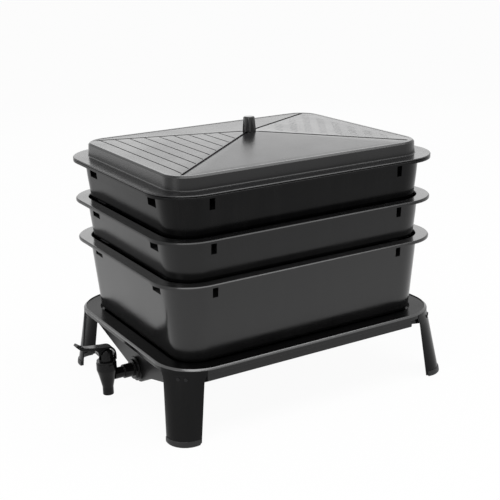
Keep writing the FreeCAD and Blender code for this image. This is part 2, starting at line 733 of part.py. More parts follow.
def collectorBase():
    """A rim with a turned-down lip, a beaded deck, a well that the lower tray drops into, and
    a sump whose floor falls to the tap."""
    body = newBody("collector_base")
    rim = newSketch(body, "rim", up="rimLow")
    roundedRectangle(rim, "rimX", "rimY", "rimCorner")
    pad(body, rim, "lipHigh")
    under = newSketch(body, "under", up="rimLow")
    roundedRectangle(under, "lipRootX", "lipRootY", "lipRootCorner")
    pocket(body, under, "rimHollow", up=True)
    bead = newSketch(body, "bead", up="rimTop")
    roundedRectangle(bead, "lipRootX", "lipRootY", "lipRootCorner")
    pocket(body, bead, "beadHigh")

    skirt = newSketch(body, "skirt", up="sumpEdge")
    polygon(skirt, octagon(""))
    pad(body, skirt, "sumpWall")
    loft(body, sumpSections(body, "floor", ""))
    well = newSketch(body, "tapWell", role="YZ_Plane", up="-tapFaceX")
    circle(well, "wellRadius", "0", "tapUp")
    pad(body, well, "wellLong")
    for k in range(4):
        legBoss(body, k)
    cavity = newSketch(body, "cavity", up="sumpInEdge")
    polygon(cavity, octagon("In"))
    pocket(body, cavity, "cavityHigh", up=True)
    loft(body, sumpSections(body, "floorInside", "In"), cut=True)
    inside = newSketch(body, "tapWellInside", role="YZ_Plane", up="-tapFaceInX")
    circle(inside, "wellInRadius", "0", "tapUp")
    pocket(body, inside, "wellInLong", up=True)

    seat = newSketch(body, "seat", up="seatTop")
    roundedRectangle(seat, "wellOutX", "wellOutY", "wellOutCorner")
    roundedRectangle(seat, "ledgeX", "ledgeY", "ledgeCorner")
    pad(body, seat, "deckSkin", down=True)
    frame = newSketch(body, "frame", up="seatTop")
    roundedRectangle(frame, "wellOutX", "wellOutY", "wellOutCorner")
    pad(body, frame, "seatHigh")
    opening = newSketch(body, "opening", up="seatTop")
    roundedRectangle(opening, "wellX", "wellY", "wellCorner")
    pocket(body, opening, "lipHigh", up=True)

    hole = newSketch(body, "tapHole", role="YZ_Plane", up="-sumpX")
    circle(hole, "wallHole", "0", "tapUp")
    pocket(body, hole, "wellLong", up=True)
    for k in range(4):
        for side in (-1, 1):
            pilot = body.newObject("PartDesign::SubtractiveCylinder", "collector_base_pilot%d%d" % (k, side > 0))
            pilot.setExpression("Radius", cell("legScrewRadius"))
            pilot.setExpression("Height", cell("legScrewLong"))
            pilot.Placement = screwFrame(k, side, 0.0)
            settle(body, pilot, -1)
    body.setExpression("Placement.Base.x", cell("stackX"))
    return body


def legBoss(body, k):
    """A leaning boss under the deck, against the inside of the leg, where the screws bite."""
    sections = []
    for name in ("bossLow", "bossHigh"):
        radius = size("bossRadius")
        inside = size("legSplay") - size("legFall") * size(name) - size("legWall") - size("bossGap")
        middle = atCorner(k, 0.0).multVec(Vector(inside - radius, 0, 0))
        section = newSketch(body, "boss%d%s" % (k, name), up=name)
        section.addGeometry(Part.Circle(middle, Vector(0, 0, 1), radius), False)
        section.addConstraint(Sketcher.Constraint("Block", 0))
        sections.append(section)
    loft(body, sections)


def octagon(kind):
    """A rectangle whose corners are cut back to leave room for the legs."""
    x, y, cutX, cutY, tapX, tapY = ["sump" + kind + name for name in ("X", "Y", "CutX", "CutY", "TapCutX", "TapCutY")]
    return [(cutX, "-" + y), (x, "-" + cutY), (x, cutY), (cutX, y),
            ("-" + tapX, y), ("-" + x, tapY), ("-" + x, "-" + tapY), ("-" + tapX, "-" + y)]


def sumpSections(body, name, kind):
    """Cross-sections of the sloping sump floor from the tap end to the far end. Each is a
    shallow trough: two edges under the skirt, and a flat that is lowest behind the tap."""
    edge = "sump%sEdge" % kind
    stations = [("-sump%sX" % kind, "sump%sTapCutY" % kind, edge, "sump%sTapTop" % kind),
                ("-sump%sKneeX" % kind, "sump%sTapCutY" % kind, edge, "sump%sKnee" % kind),
                ("-tapFace%sX" % kind, "sump%sTapCutY" % kind, "sump%sTapEdge" % kind, "sump%sLow" % kind),
                ("-sump%sTapCutX" % kind, "sump%sY" % kind, edge, "sump%sMiddle" % kind),
                ("sump%sCutX" % kind, "sump%sY" % kind, edge, "far%sLow" % kind),
                ("sump%sX" % kind, "sump%sCutY" % kind, edge, "end%sLow" % kind)]
    sections = []
    for k, (x, half, edge, low) in enumerate(stations):
        section = newSketch(body, "%s%d" % (name, k), role="YZ_Plane", up=x)
        polygon(section, [("-" + half, "sumpRoof"), ("-" + half, edge), ("-sumpFlat", low),
                          ("sumpFlat", low), (half, edge), (half, "sumpRoof")])
        sections.append(section)
    return sections


def channel(sketch, centre, outer, inner, chords):
    """The C-shaped section of a leg: two arcs about one centre, closed at both ends. chords
    are the cells of the end points: the outer x, outer y, inner x and inner y."""
    middle = Vector(size(centre), 0, 0)
    angle = math.asin(size(chords[0]) / size(outer))
    for radius in (outer, inner):
        ring = Part.Circle(middle, Vector(0, 0, 1), size(radius))
        sketch.addGeometry(Part.ArcOfCircle(ring, -angle, angle), False)
    ends = [Vector(size(centre) + size(radius) * math.cos(angle), side * size(radius) * math.sin(angle), 0)
            for side in (-1, 1) for radius in (outer, inner)]
    sketch.addGeometry(Part.LineSegment(ends[0], ends[1]), False)
    sketch.addGeometry(Part.LineSegment(ends[2], ends[3]), False)
    for one, where, other, there in ((0, 1, 2, 1), (1, 1, 2, 2), (0, 2, 3, 1), (1, 2, 3, 2)):
        sketch.addConstraint(Sketcher.Constraint("Coincident", one, where, other, there))
    sketch.addConstraint(Sketcher.Constraint("Coincident", 0, 3, 1, 3))
    sketch.addConstraint(Sketcher.Constraint("PointOnObject", 0, 3, -1))
    dimension(sketch, "DistanceX", centre, -1, 1, 0, 3)
    dimension(sketch, "Radius", outer, 0)
    dimension(sketch, "Radius", inner, 1)
    outerChord, innerChord = chords
    for arc, chord in ((0, outerChord), (1, innerChord)):
        dimension(sketch, "DistanceY", "-" + chord, -1, 1, arc, 1)
        dimension(sketch, "DistanceY", chord, -1, 1, arc, 2)


def atCorner(k, middle):
    """The frame of corner k: on the floor below the middle of the rim's corner arc, with its
    X axis pointing outwards along the diagonal. middle is the stack's centre line."""
    sx, sy, turn = ((-1, -1, 225), (1, -1, 315), (1, 1, 45), (-1, 1, 135))[k]
    diagonal = size("rimCorner") * (1 - math.sqrt(0.5))
    place = Vector(middle + sx * (size("rimX") - diagonal), sy * (size("rimY") - diagonal), 0)
    return Placement(place, Rotation(Vector(0, 0, 1), turn))


def screwFrame(k, side, middle):
    """The frame of one leg screw: under its head, with its Z axis running into the leg."""
    place = Vector(size("legScrewFace"), side * size("legScrewAside"), size("legScrewUp"))
    return atCorner(k, middle) * Placement(place, Rotation(Vector(0, 1, 0), -90))


def leg(label, k):
    """A splayed leg: a channel that narrows to the foot."""
    body = newBody(label)
    foot = newSketch(body, "foot", up="capSole")
    channel(foot, "footCentre", "legFootRadius", "footInner", ("legFootChord", "footInnerChord"))
    top = newSketch(body, "top", up="rimLow")
    channel(top, "topCentre", "legTopRadius", "topInner", ("legTopChord", "topInnerChord"))
    loft(body, [foot, top])
    holes = newSketch(body, "holes", role="YZ_Plane", up="-legScrewLong")
    circle(holes, "legScrewHole", "legScrewAside", "legScrewUp")
    circle(holes, "legScrewHole", "-legScrewAside", "legScrewUp")
    pocket(body, holes, "rimCorner", up=True)
    spots = newSketch(body, "spots", role="YZ_Plane", up="legScrewFace")
    circle(spots, "legSpotRadius", "legScrewAside", "legScrewUp")
    circle(spots, "legSpotRadius", "-legScrewAside", "legScrewUp")
    pocket(body, spots, "legScrewLong", up=True)
    body.Placement = atCorner(k, size("stackX"))
    return body


def footCap(label, k):
    """A cap that is pushed over the foot of a leg and stands a little proud of it."""
    body = newBody(label)
    sole = newSketch(body, "sole")
    channel(sole, "capCentre", "capOuter", "capInner", ("capChord", "capInnerChord"))
    brim = newSketch(body, "brim", up="capHigh")
    channel(brim, "capBrimCentre", "capBrimOuter", "capBrimInner", ("capBrimChord", "capBrimInnerChord"))
    loft(body, [sole, brim])
    foot = newSketch(body, "foot", up="capSole")
    channel(foot, "footCentre", "legFootRadius", "footInner", ("legFootChord", "footInnerChord"))
    top = newSketch(body, "top", up="rimLow")
    channel(top, "topCentre", "legTopRadius", "topInner", ("legTopChord", "topInnerChord"))
    loft(body, [foot, top], cut=True)
    body.Placement = atCorner(k, size("stackX"))
    return body


def legScrews(label):
    """Two pan-head screws for each leg, kept as separate solids in one group."""
    long = size("legScrewLong")
    screws = []
    for k in range(4):
        for side in (-1, 1):
            shank = Part.makeCylinder(size("legScrewRadius"), long)
            head = Part.makeCylinder(size("legScrewHead"), size("legScrewHeadHigh"),
                                     Vector(0, 0, -size("legScrewHeadHigh")))
            screw = shank.fuse(head).removeSplitter()
            screw.Placement = screwFrame(k, side, 0.0)
            screws.append(screw)
    group = doc.addObject("Part::Feature", label)
    group.Label = label
    group.Shape = Part.Compound(screws)
    group.Placement = Placement(Vector(size("stackX"), 0, 0), Rotation())


tapFrame = Placement(Vector(size("stackX") - size("tapX"), 0, size("tapUp")), Rotation())


def tapBody():
    """The tap's moulded body: a barrel that narrows to the spout, and an inlet with a stepped
    collar, a flange and a threaded tail."""
    body = newBody("tap_body")
    barrel = newSketch(body, "barrel", role="XZ_Plane")
    polygon(barrel, [("0", "-spoutLow"), ("spoutRadius", "-spoutLow"), ("spoutRadius", "-spoutStep"),
                     ("coneRadius", "coneUp"), ("barrelRadius", "barrelWaist"),
                     ("barrelRadius", "barrelTop"), ("0", "barrelTop")])
    revolve(body, barrel)
    inlet = newSketch(body, "inlet", role="XZ_Plane")
    polygon(inlet, [("inletFrom", "0"), ("inletFrom", "inletRadius"), ("neckTo", "inletRadius"),
                    ("neckTo", "middleRadius"), ("middleTo", "middleRadius"),
                    ("middleTo", "collarRadius"), ("collarTo", "collarRadius"),
                    ("collarTo", "tapFlangeRadius"), ("tapFlangeTo", "tapFlangeRadius"),
                    ("tapFlangeTo", "tailRadius"), ("tailTo", "tailRadius"), ("tailTo", "0")])
    revolve(body, inlet, axis="H_Axis")
    spout = newSketch(body, "spout", role="XZ_Plane")
    polygon(spout, [("0", "-spoutLow"), ("spoutBore", "-spoutLow"), ("spoutBore", "-chamberLow"),
                    ("chamberRadius", "-chamberLow"), ("chamberRadius", "barrelTop"), ("0", "barrelTop")])
    revolve(body, spout, cut=True)
    bore = newSketch(body, "bore", role="YZ_Plane")
    circle(bore, "inletBore")
    pocket(body, bore, "tailTo", up=True)
    body.Placement = tapFrame


def tapWallParts():
    """The gasket outside the sump wall, and the washer and nut inside it."""
    for label, start, thick, hole, outer in (
            ("tap_gasket", "tapFlangeTo", "gasketThick", "gasketHole", "gasketRadius"),
            ("tap_inner_washer", "innerWasherFrom", "innerWasherThick", "gasketHole", "innerWasherRadius")):
        body = newBody(label)
        ring = newSketch(body, "ring", role="YZ_Plane", up=start)
        circle(ring, outer)
        circle(ring, hole)
        pad(body, ring, thick)
        body.Placement = tapFrame
    body = newBody("tap_lock_nut")
    nut = newSketch(body, "hexagon", role="YZ_Plane")
    polygon(nut, [("nutPoint", "0"), ("nutSide", "nutHalf"), ("-nutSide", "nutHalf"),
                  ("-nutPoint", "0"), ("-nutSide", "-nutHalf"), ("nutSide", "-nutHalf")])
    circle(nut, "nutHole")
    pad(body, nut, "nutLong")
    start = Vector(size("innerWasherFrom") + size("innerWasherThick"), 0, 0)
    body.Placement = tapFrame * Placement(start, Rotation())


def tapBonnet():
    """The screwed bonnet: a plug in the barrel, a disc on it and a hub slotted for the lever."""
    body = newBody("tap_bonnet")
    side = newSketch(body, "side", role="XZ_Plane")
    polygon(side, [("rodBore", "bonnetPlugLow"), ("bonnetPlug", "bonnetPlugLow"),
                   ("bonnetPlug", "barrelTop"), ("bonnetDisc", "barrelTop"),
                   ("bonnetDisc", "bonnetDiscTop"), ("hubRadius", "bonnetDiscTop"),
                   ("hubRadius", "hubSide"), ("hubUpper", "hubUpperHigh"), ("hubCrown", "hubCrownHigh"),
                   ("rodBore", "hubTop")])
    revolve(body, side)
    slot = newSketch(body, "slot", role="XZ_Plane")
    polygon(slot, [("-barrelRadius", "slotLow"), ("barrelRadius", "slotLow"),
                   ("barrelRadius", "tapUp"), ("-barrelRadius", "tapUp")])
    pocket(body, slot, "slotWide", middle=True)
    bore = newSketch(body, "pinBore", role="XZ_Plane")
    circle(bore, "pinRadius", "0", "pinUp")
    pocket(body, bore, "tapUp", middle=True)
    body.Placement = tapFrame


def tapLever():
    """The lever: an arch over the hub, an arm with an upturned tip, and a stub on the pin."""
    body = newBody("tap_lever")
    arch = newSketch(body, "arch", role="XZ_Plane")
    circle(arch, "archOut", "0", "pinUp")
    circle(arch, "archIn", "0", "pinUp")
    pad(body, arch, "leverWide", middle=True)
    away = newSketch(body, "away", role="XZ_Plane")
    polygon(away, [("0", "pinUp"), ("archClear", "archEndUp"), ("archClear", "0"),
                   ("-archClear", "0"), ("-archClear", "archClearUp"), ("0", "archClearUp")])
    pocket(body, away, "leverWide", middle=True)
    arm = newSketch(body, "arm", role="XZ_Plane")
    polygon(arm, [("0", "archTop"), ("-armMiddle", "armMiddleTop"), ("-armBend", "armBendTop"),
                  ("-tipEnd", "tipTop"), ("-tipEdge", "tipLow"), ("-armHeel", "armHeelLow"),
                  ("-armLobe", "armLobeLow"), ("-armMiddle", "armMiddleLow"), ("0", "archCrown")])
    pad(body, arm, "leverWide", middle=True)
    stub = newSketch(body, "stub", role="XZ_Plane")
    polygon(stub, [("-stubFoot", "pinUp"), ("stubFoot", "pinUp"), ("stubHead", "stubTop"),
                   ("-stubHead", "stubTop")])
    pad(body, stub, "stubWide", middle=True)
    eye = newSketch(body, "eye", role="XZ_Plane")
    circle(eye, "stubRadius", "0", "pinUp")
    pad(body, eye, "stubWide", middle=True)
    bore = newSketch(body, "bore", role="XZ_Plane")
    circle(bore, "leverBore", "0", "pinUp")
    pocket(body, bore, "tapUp", middle=True)
    body.Placement = tapFrame


def tapMovingParts():
    """The lever's pin, and the plunger with the seal that closes the spout."""
    pin = newBody("tap_lever_pin")
    shank = newSketch(pin, "shank", role="XZ_Plane")
    circle(shank, "pinRadius", "0", "pinUp")
    pad(pin, shank, "pinLong", middle=True)
    pin.Placement = tapFrame
    turned("tap_plunger",
           [("0", "-sealLow"), ("sealHole", "-sealLow"), ("sealHole", "sealTop"),
            ("discRadius", "sealTop"), ("discRadius", "discTop"), ("rodRadius", "discTop"),
            ("rodRadius", "rodTop"), ("0", "rodTop")], tapFrame)
    turned("tap_seat_seal",
           [("sealHole", "-sealLow"), ("sealRadius", "-sealLow"), ("sealRadius", "sealTop"),
            ("sealHole", "sealTop")], tapFrame)


def buildAll():
    collectorBase()
    for k, place in enumerate(("front_left", "front_right", "back_right", "back_left")):
        leg(place + "_leg", k)
        footCap(place + "_foot_cap", k)
    legScrews("leg_screws")
    sunkTray("lower_tray", "lowerDeck", "deep")
    sunkTray("middle_tray", "middleDeck", "shallow")
    sunkTray("top_tray", "topDeck", "shallow")
    hippedLid()
    lidKnob()
    lidFastening()
    tapBody()
    tapWallParts()
    tapBonnet()
    tapLever()
    tapMovingParts()


buildAll()
doc.recompute()
parts = [item for item in doc.Objects if item.TypeId in ("PartDesign::Body", "Part::Feature") and item.InList == []]
for item in doc.Objects:
    if "Invalid" in item.State or "Error" in item.State:
        raise RuntimeError("%s is not sound: %s" % (item.Label, item.State))
os.makedirs("parts", exist_ok=True)
whole = FreeCAD.BoundBox()
for part in parts:
    shape = part.Shape
    if shape.isNull() or not shape.isValid():
        raise RuntimeError("%s has no sound shape" % part.Label)
    shape.exportStep("parts/%s.step" % part.Label)
    whole.add(shape.BoundBox)
    print("%-22s %9.1f mm3, %d solid" % (part.Label, shape.Volume, len(shape.Solids)))
print("whole", whole)
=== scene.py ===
import json
import math
import bpy
import numpy as np
from mathutils import Matrix, Vector


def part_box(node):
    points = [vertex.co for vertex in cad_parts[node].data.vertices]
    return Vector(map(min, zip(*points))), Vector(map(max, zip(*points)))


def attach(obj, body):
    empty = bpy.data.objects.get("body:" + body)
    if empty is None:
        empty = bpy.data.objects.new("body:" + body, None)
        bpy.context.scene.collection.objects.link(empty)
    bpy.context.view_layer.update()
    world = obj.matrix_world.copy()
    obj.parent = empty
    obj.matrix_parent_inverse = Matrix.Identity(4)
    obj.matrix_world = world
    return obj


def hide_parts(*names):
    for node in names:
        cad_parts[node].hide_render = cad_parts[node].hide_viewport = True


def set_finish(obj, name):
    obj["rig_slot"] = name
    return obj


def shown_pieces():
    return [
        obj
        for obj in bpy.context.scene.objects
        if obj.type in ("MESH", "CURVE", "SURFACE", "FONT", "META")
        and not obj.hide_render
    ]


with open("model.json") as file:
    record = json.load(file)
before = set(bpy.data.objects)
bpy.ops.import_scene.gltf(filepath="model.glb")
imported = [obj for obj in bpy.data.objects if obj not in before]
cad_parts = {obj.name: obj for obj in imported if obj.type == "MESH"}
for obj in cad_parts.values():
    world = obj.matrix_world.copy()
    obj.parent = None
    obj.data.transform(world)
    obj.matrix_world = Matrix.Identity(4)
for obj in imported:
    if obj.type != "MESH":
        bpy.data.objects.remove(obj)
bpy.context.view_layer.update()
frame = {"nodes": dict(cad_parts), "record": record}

mm = 0.001
trayLow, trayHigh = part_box("lower_tray")
stackX = (trayLow[0] + trayHigh[0]) / 2     # the stack's centre line


# meshes

def addObject(name, data):
    thing = bpy.data.objects.new(name, data)
    bpy.context.scene.collection.objects.link(thing)
    return thing


def addMesh(name, points, faces, body, slot, nodes=(), sharp=35, place=(0.0, 0.0)):
    # one closed mesh from points in mm about the stack's centre line, moved by place (x and z,
    # in metres) and turned outwards by the sign of its volume
    points = np.asarray(points, float).reshape(-1, 3) * mm + (stackX + place[0], 0, place[1])
    mesh = bpy.data.meshes.new(name)
    mesh.from_pydata(points.tolist(), [], faces)
    mesh.validate()
    mesh.calc_loop_triangles()
    triangles = np.zeros(3 * len(mesh.loop_triangles), np.int32)
    mesh.loop_triangles.foreach_get("vertices", triangles)
    a, b, c = points[triangles.reshape(-1, 3)].transpose(1, 0, 2)
    if np.einsum("ij,ij->i", a, np.cross(b, c)).sum() < 0:
        mesh.flip_normals()
    mesh.polygons.foreach_set("use_smooth", np.ones(len(mesh.polygons), bool))
    mesh.set_sharp_from_angle(angle=math.radians(sharp))
    piece = addObject(name, mesh)
    weighted = piece.modifiers.new("evenNormals", "WEIGHTED_NORMAL")
    weighted.keep_sharp = True
    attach(piece, body)
    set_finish(piece, slot)
    if nodes:
        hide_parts(*nodes)
    return piece


def bandFaces(rows, columns, wrap=False):
    # quads between neighbouring rows of a grid whose columns go round a loop; wrap also joins
    # the last row to the first
    row, column = np.meshgrid(np.arange(rows - 1 + wrap), np.arange(columns), indexing="ij")
    after, below = (column + 1) % columns, (row + 1) % rows
    quads = np.stack([row * columns + column, row * columns + after,
                      below * columns + after, below * columns + column], -1)
    return quads.reshape(-1, 4).tolist()


def closedFaces(rows, columns):
    # a grid's bands, with triangles from one more point to its first loop and from another
    # to its last
    column = np.arange(columns)
    after, last, tip = np.roll(column, -1), (rows - 1) * columns, rows * columns + 0 * column
    fans = [np.stack([tip, after, column], -1), np.stack([tip + 1, last + column, last + after], -1)]
    return bandFaces(rows, columns) + np.concatenate(fans).tolist()


def capFaces(count, last):
    # a tube's two end faces: its first loop starts at point 0 and its last one at point last
    return [list(range(count))[::-1], list(range(last, last + count))]


def sideEnds(k):
    # side k, counted round from the front side: the angle it faces, and the signs of x and y
    # at its two ends
    turn, half = math.radians(270 + 90 * k), math.pi / 4
    return turn, *(np.sign([math.cos(turn + part), math.sin(turn + part)]) for part in (-half, half))


def pick(settings, names):
    # the settings of the given names, parted by spaces
    return [settings[name] for name in names.split()]


def polar(radius, turn):
    return np.stack([radius * np.cos(turn), radius * np.sin(turn)], -1)


def lifted(plan, height):
    # points of a plan at their heights
    return np.concatenate([plan, (height + 0 * plan[..., 0])[..., None]], -1)


def turnRound(centre, radius, start, end, count):
    # points of an arc in the section plane: centre + radius * (cos, sin), angles in degrees
    return centre + polar(radius, np.radians(np.linspace(start, end, count)))


def brokenEdge(outer, top, size):
    # an upper edge broken at 45 degrees, with its two arrises eased: inner end first
    ease = 0.1 * size
    return [(outer - size - 2 * ease, top), (outer - size, top - ease), (outer - ease, top - size),
            (outer, top - size - 2 * ease)]


def spread(parts):
    # a section's rows, from pairs of a plan and the points (offset, height) laid on it
    return np.array([[*(np.array(plan) + offset), z] for plan, points in parts for offset, z in points])


def aroundRectangle(rows, spans, angles):
    # rounded rectangles: each row is (half length, half width, corner radius, height), and a
    # column stands at x = span x * (half length - radius) + radius * cos(angle), y alike with sin
    half, corner, height = rows[:, None, :2], rows[:, 2:3], rows[:, 3:]
    return lifted(spans * (half - corner[..., None]) + polar(corner, angles), height)


# trays

# plans are half length, half width and corner radius; everything here is in mm
flangePlan = (300.0, 235.5, 79.0)
traySettings = {
    "flange": flangePlan, "flangeDeep": 6.0, "flangeSkin": 2.5, "flangeEdge": 3.0,
    "arris": 1.9,  # broken upper edge of the flange
    "wall": (278.8, 214.3, 62.0),  # the wall's plan where it meets the flange
    "slope": 0.0822, "thick": 2.5, "bottomRound": 14.0,
    "pocketTop": 10.5, "pocketLow": 33.0, "pocketIn": 24.0,
    "pocketRamp": 17.0,  # height over which a pocket's floor rises inwards
    "pocketSoft": 0.35,  # width of a pocket's edge
    "endPocket": (113.0, 145.0), "sidePocket": (196.8, 207.6),
    "holeRadius": 3.0, "holeStep": 30.0, "holesAlong": 15, "holesAcross": 11,
    "shallowDepth": 87.2, "deepDepth": 159.2,
}


def trayColumns(settings, grow):
    # spans and angles of the columns round a tray: 6 steps to each half corner, 18 along a
    # long side and 10 along an end, with two columns at each pocket edge
    straightX, straightY = np.array(settings["wall"][:2]) - settings["wall"][2]
    soft = settings["pocketSoft"] / 2
    side, end = ([low - grow - soft, low - grow + soft, high + grow - soft, high + grow + soft]
                 for low, high in pick(settings, "sidePocket endPocket"))
    middleX = np.linspace(-side[0], side[0], 11)[1:-1]
    alongX = np.concatenate([[-straightX], -np.array(side[::-1]), middleX, side, [straightX]]) / straightX
    alongY = np.concatenate([[-straightY], -np.array(end[::-1]), [0.0], end, [straightY]]) / straightY
    half = np.radians(np.linspace(0, 45, 7))
    spans, angles = [], []
    for k, along in enumerate((alongX, alongY, alongX, alongY)):
        turn, before, after = sideEnds(k)
        share = (along[:, None] + 1) / 2
        spans += [np.tile(before, (6, 1)), before * (1 - share) + after * share, np.tile(after, (5, 1))]
        angles += [turn - half[:0:-1], np.full(len(along), turn), turn + half[1:-1]]
    return np.concatenate(spans), np.concatenate(angles)


def holeField(settings, top, bottom, start):
    # the floor with its holes: a square cell round each hole, eight points on the cell's edge
    # and sixteen on the circle, above and below, with the hole's wall between
    along, across, step, radius = pick(settings, "holesAlong holesAcross holeStep holeRadius")
    gridX = np.arange(2 * along + 1)
    gridY = np.arange(2 * across + 1)
    x, y = np.meshgrid((gridX - along) * step / 2, (gridY - across) * step / 2, indexing="ij")
    used = ~((gridX[:, None] % 2 == 1) & (gridY[None, :] % 2 == 1))
    index = np.cumsum(used.ravel()).reshape(used.shape) - 1
    grid = np.stack([x[used], y[used]], -1)
    cell = np.stack(np.meshgrid(np.arange(along), np.arange(across), indexing="ij"), -1).reshape(-1, 2)
    ring = np.array([(2, 1), (2, 2), (1, 2), (0, 2), (0, 1), (0, 0), (1, 0), (2, 0)])
    outer = index[tuple(np.moveaxis(2 * cell[:, None] + ring, -1, 0))]
    centre = (cell - ((along - 1) / 2, (across - 1) / 2)) * step
    circle = centre[:, None] + polar(radius, np.arange(16) * math.pi / 8)
    plan = np.concatenate([grid, circle.reshape(-1, 2)])
    count = len(plan)
    inner = len(grid) + np.arange(len(cell) * 16).reshape(-1, 16)
    after = np.roll(inner, -1, 1)
    fans = np.stack([outer, np.roll(outer, -1, 1), after[:, 1::2], inner[:, 1::2], inner[:, ::2]], -1)
    walls = np.stack([inner, after, after + count, inner + count], -1)
    points = np.concatenate([lifted(plan, top), lifted(plan, bottom)])
    faces = []
    for part in (fans[..., ::-1], fans + count, walls[..., ::-1]):
        faces += (part + start).reshape(-1, part.shape[-1]).tolist()
    zeroX, zeroY = 0 * gridX[1:], 0 * gridY[1:]
    edgeX = np.concatenate([gridX[:-1], zeroY + 2 * along, gridX[:0:-1], zeroY])
    edgeY = np.concatenate([zeroX, gridY[:-1], zeroX + 2 * across, gridY[:0:-1]])
    border = index[edgeX, edgeY] + start
    return points, faces, border, border + count


def trayRows(settings, depth):
    # the tray's section: from the floor inside up and over the flange to its inner edge, and
    # from there down the outside to the floor below
    thick, slope, big, ramp = pick(settings, "thick slope bottomRound pocketRamp")
    deep, skin, edge, arris = pick(settings, "flangeDeep flangeSkin flangeEdge arris")
    wall, flange = settings["wall"], settings["flange"]
    low, high = -settings["pocketLow"], -settings["pocketTop"]
    soft, lean = settings["pocketSoft"] / 2, math.degrees(math.atan(slope))
    floor, small = thick - depth, big - thick
    start, end = low - thick, high + thick
    steps = (start - 6, start, start + ramp, end - soft, end + soft, end + 3)
    inside = spread([
        (wall, turnRound((-thick + slope * floor - small, floor + small), small, -90, -lean, 6)),
        (wall, [(-thick + slope * z, z) for z in steps]),
        (wall, turnRound((-thick + 1.5, -1.5), 1.5, 180, 90, 4)),
        (wall, [(2.5, 0)]),
        (flange, [(-3.5, 0), *brokenEdge(0, 0, arris)]),
        (flange, turnRound((-0.6, 0.6 - deep), 0.6, 0, -90, 3)),
        (flange, turnRound((-edge + 0.6, 0.6 - deep), 0.6, -90, -180, 3)),
        (flange, turnRound((-edge - 0.8, -skin - 0.8), 0.8, 0, 90, 3)),
    ])
    outside = spread([
        (wall, turnRound((1.5, -skin - 1.5), 1.5, 90, 180, 4)),
        (wall, [(slope * z, z) for z in (-6.0, high + soft, high - soft, low + ramp, low, low - 5)]),
        (wall, turnRound((-slope * depth - big, big - depth), big, -lean, -90, 8)),
    ])
    return inside, outside


def makeTray(name, body, depth, settings=traySettings):
    # rounded rectangles on the section's rows, with the wall's pockets, and the holed floor
    # joined to the first loop above and to the last one below
    inside, outside = trayRows(settings, depth)
    rows = np.concatenate([inside, outside])
    outer = np.arange(len(rows)) >= len(inside)
    thick, wall, pocketIn, ramp = pick(settings, "thick wall pocketIn pocketRamp")
    spansIn, angles = trayColumns(settings, thick)
    spansOut, angles = trayColumns(settings, 0.0)
    points = aroundRectangle(rows, np.where(outer[:, None, None], spansOut, spansIn), angles)
    # a pocket is the part of the wall between its edges, set back to a flat face over a ramp:
    # reach * (1 - share) + back * share
    height = rows[:, 3]
    onWall = rows[:, 0] < settings["flange"][0] - 10
    for side, grow in ((False, thick), (True, 0.0)):
        low, high = -settings["pocketLow"] - grow, -settings["pocketTop"] + grow
        rowIn = (outer == side) & (height > low) & (height < high) & onWall
        share = np.clip((height - low) / ramp, 0, 1)[:, None]
        for axis, (start, end) in enumerate(pick(settings, "endPocket sidePocket")):
            across, reach = np.abs(points[..., 1 - axis]), np.abs(points[..., axis])
            facing = np.abs([np.cos(angles), np.sin(angles)][axis]) > 0.99
            window = rowIn[:, None] & facing & (across > start - grow) & (across < end + grow)
            reach = reach * (1 - share) + (wall[axis] - pocketIn - grow) * share
            points[..., axis] = np.where(window, np.sign(points[..., axis]) * reach, points[..., axis])
    flat, column = points.reshape(-1, 3), np.arange(len(angles))
    field, cells, above, below = holeField(settings, rows[0, 3], rows[-1, 3], len(flat))
    faces = bandFaces(len(rows), len(column))
    for start, end in ((above, column), (column + len(flat) - len(column), below)):
        faces += np.stack([start, np.roll(start, -1), np.roll(end, -1), end], -1).tolist()
    addMesh(name + "_shell", np.concatenate([flat, field]), faces + cells, body, "bin_plastic", (name,),
            place=(0.0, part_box(name)[1][2]))


makeTray("lower_tray", "lower_bin", traySettings["deepDepth"])
makeTray("middle_tray", "middle_bin", traySettings["shallowDepth"])
makeTray("top_tray", "top_bin", traySettings["shallowDepth"])
print("trays made")


# lid

lidSettings = {
    "flange": flangePlan, "flangeThick": 2.2,
    # the skirt leans in by this much up to the eaves
    "skirt": (270.0, 205.0, 49.0), "lean": 1.4, "skirtHigh": 26.7,
    "eavesRound": 7.0, "roofHigh": 45.2, "beadRound": 3.2, "beadHigh": 1.3,
    "pad": (18.0, 14.5, 5.0), "lip": (273.5, 209.0, 56.0), "lipDeep": 6.0, "skin": 2.5,
    "crownRings": (19.0, 30.0),
    "hip": (244.8, 184.9), "hipGroove": 7.0, "hipCut": 2.1, "hipSoft": 0.2,
    "lineFirst": 239.0, "lineStep": 23.6, "lineCount": 9, "lineGroove": 2.2, "lineCut": 1.3,
    "lineEnd": 5.5,  # how far a line stops from the hip
    "edgeSoft": 0.3,  # width of a groove's side
    # columns: angles at the hip, angle of the arc beyond, shares of a side for middle and arc
    "bendNear": (45.0, 42.2, 41.8, 40.6, 40.2), "bend": 39, "middle": 0.72, "arc": 0.26,
    # staggered dashes on the far triangle; shift is the stagger from line to line
    "dashes": {"lines": (3, 23), "places": (-9, 10), "step": 10.5, "pitch": 55.0, "shift": 16.8,
               "long": 26.0, "wide": 2.0, "high": 0.16, "sunk": 0.6, "taper": 0.4, "clear": 8.0},
}
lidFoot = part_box("lid")[0][2] + lidSettings["lipDeep"] * mm


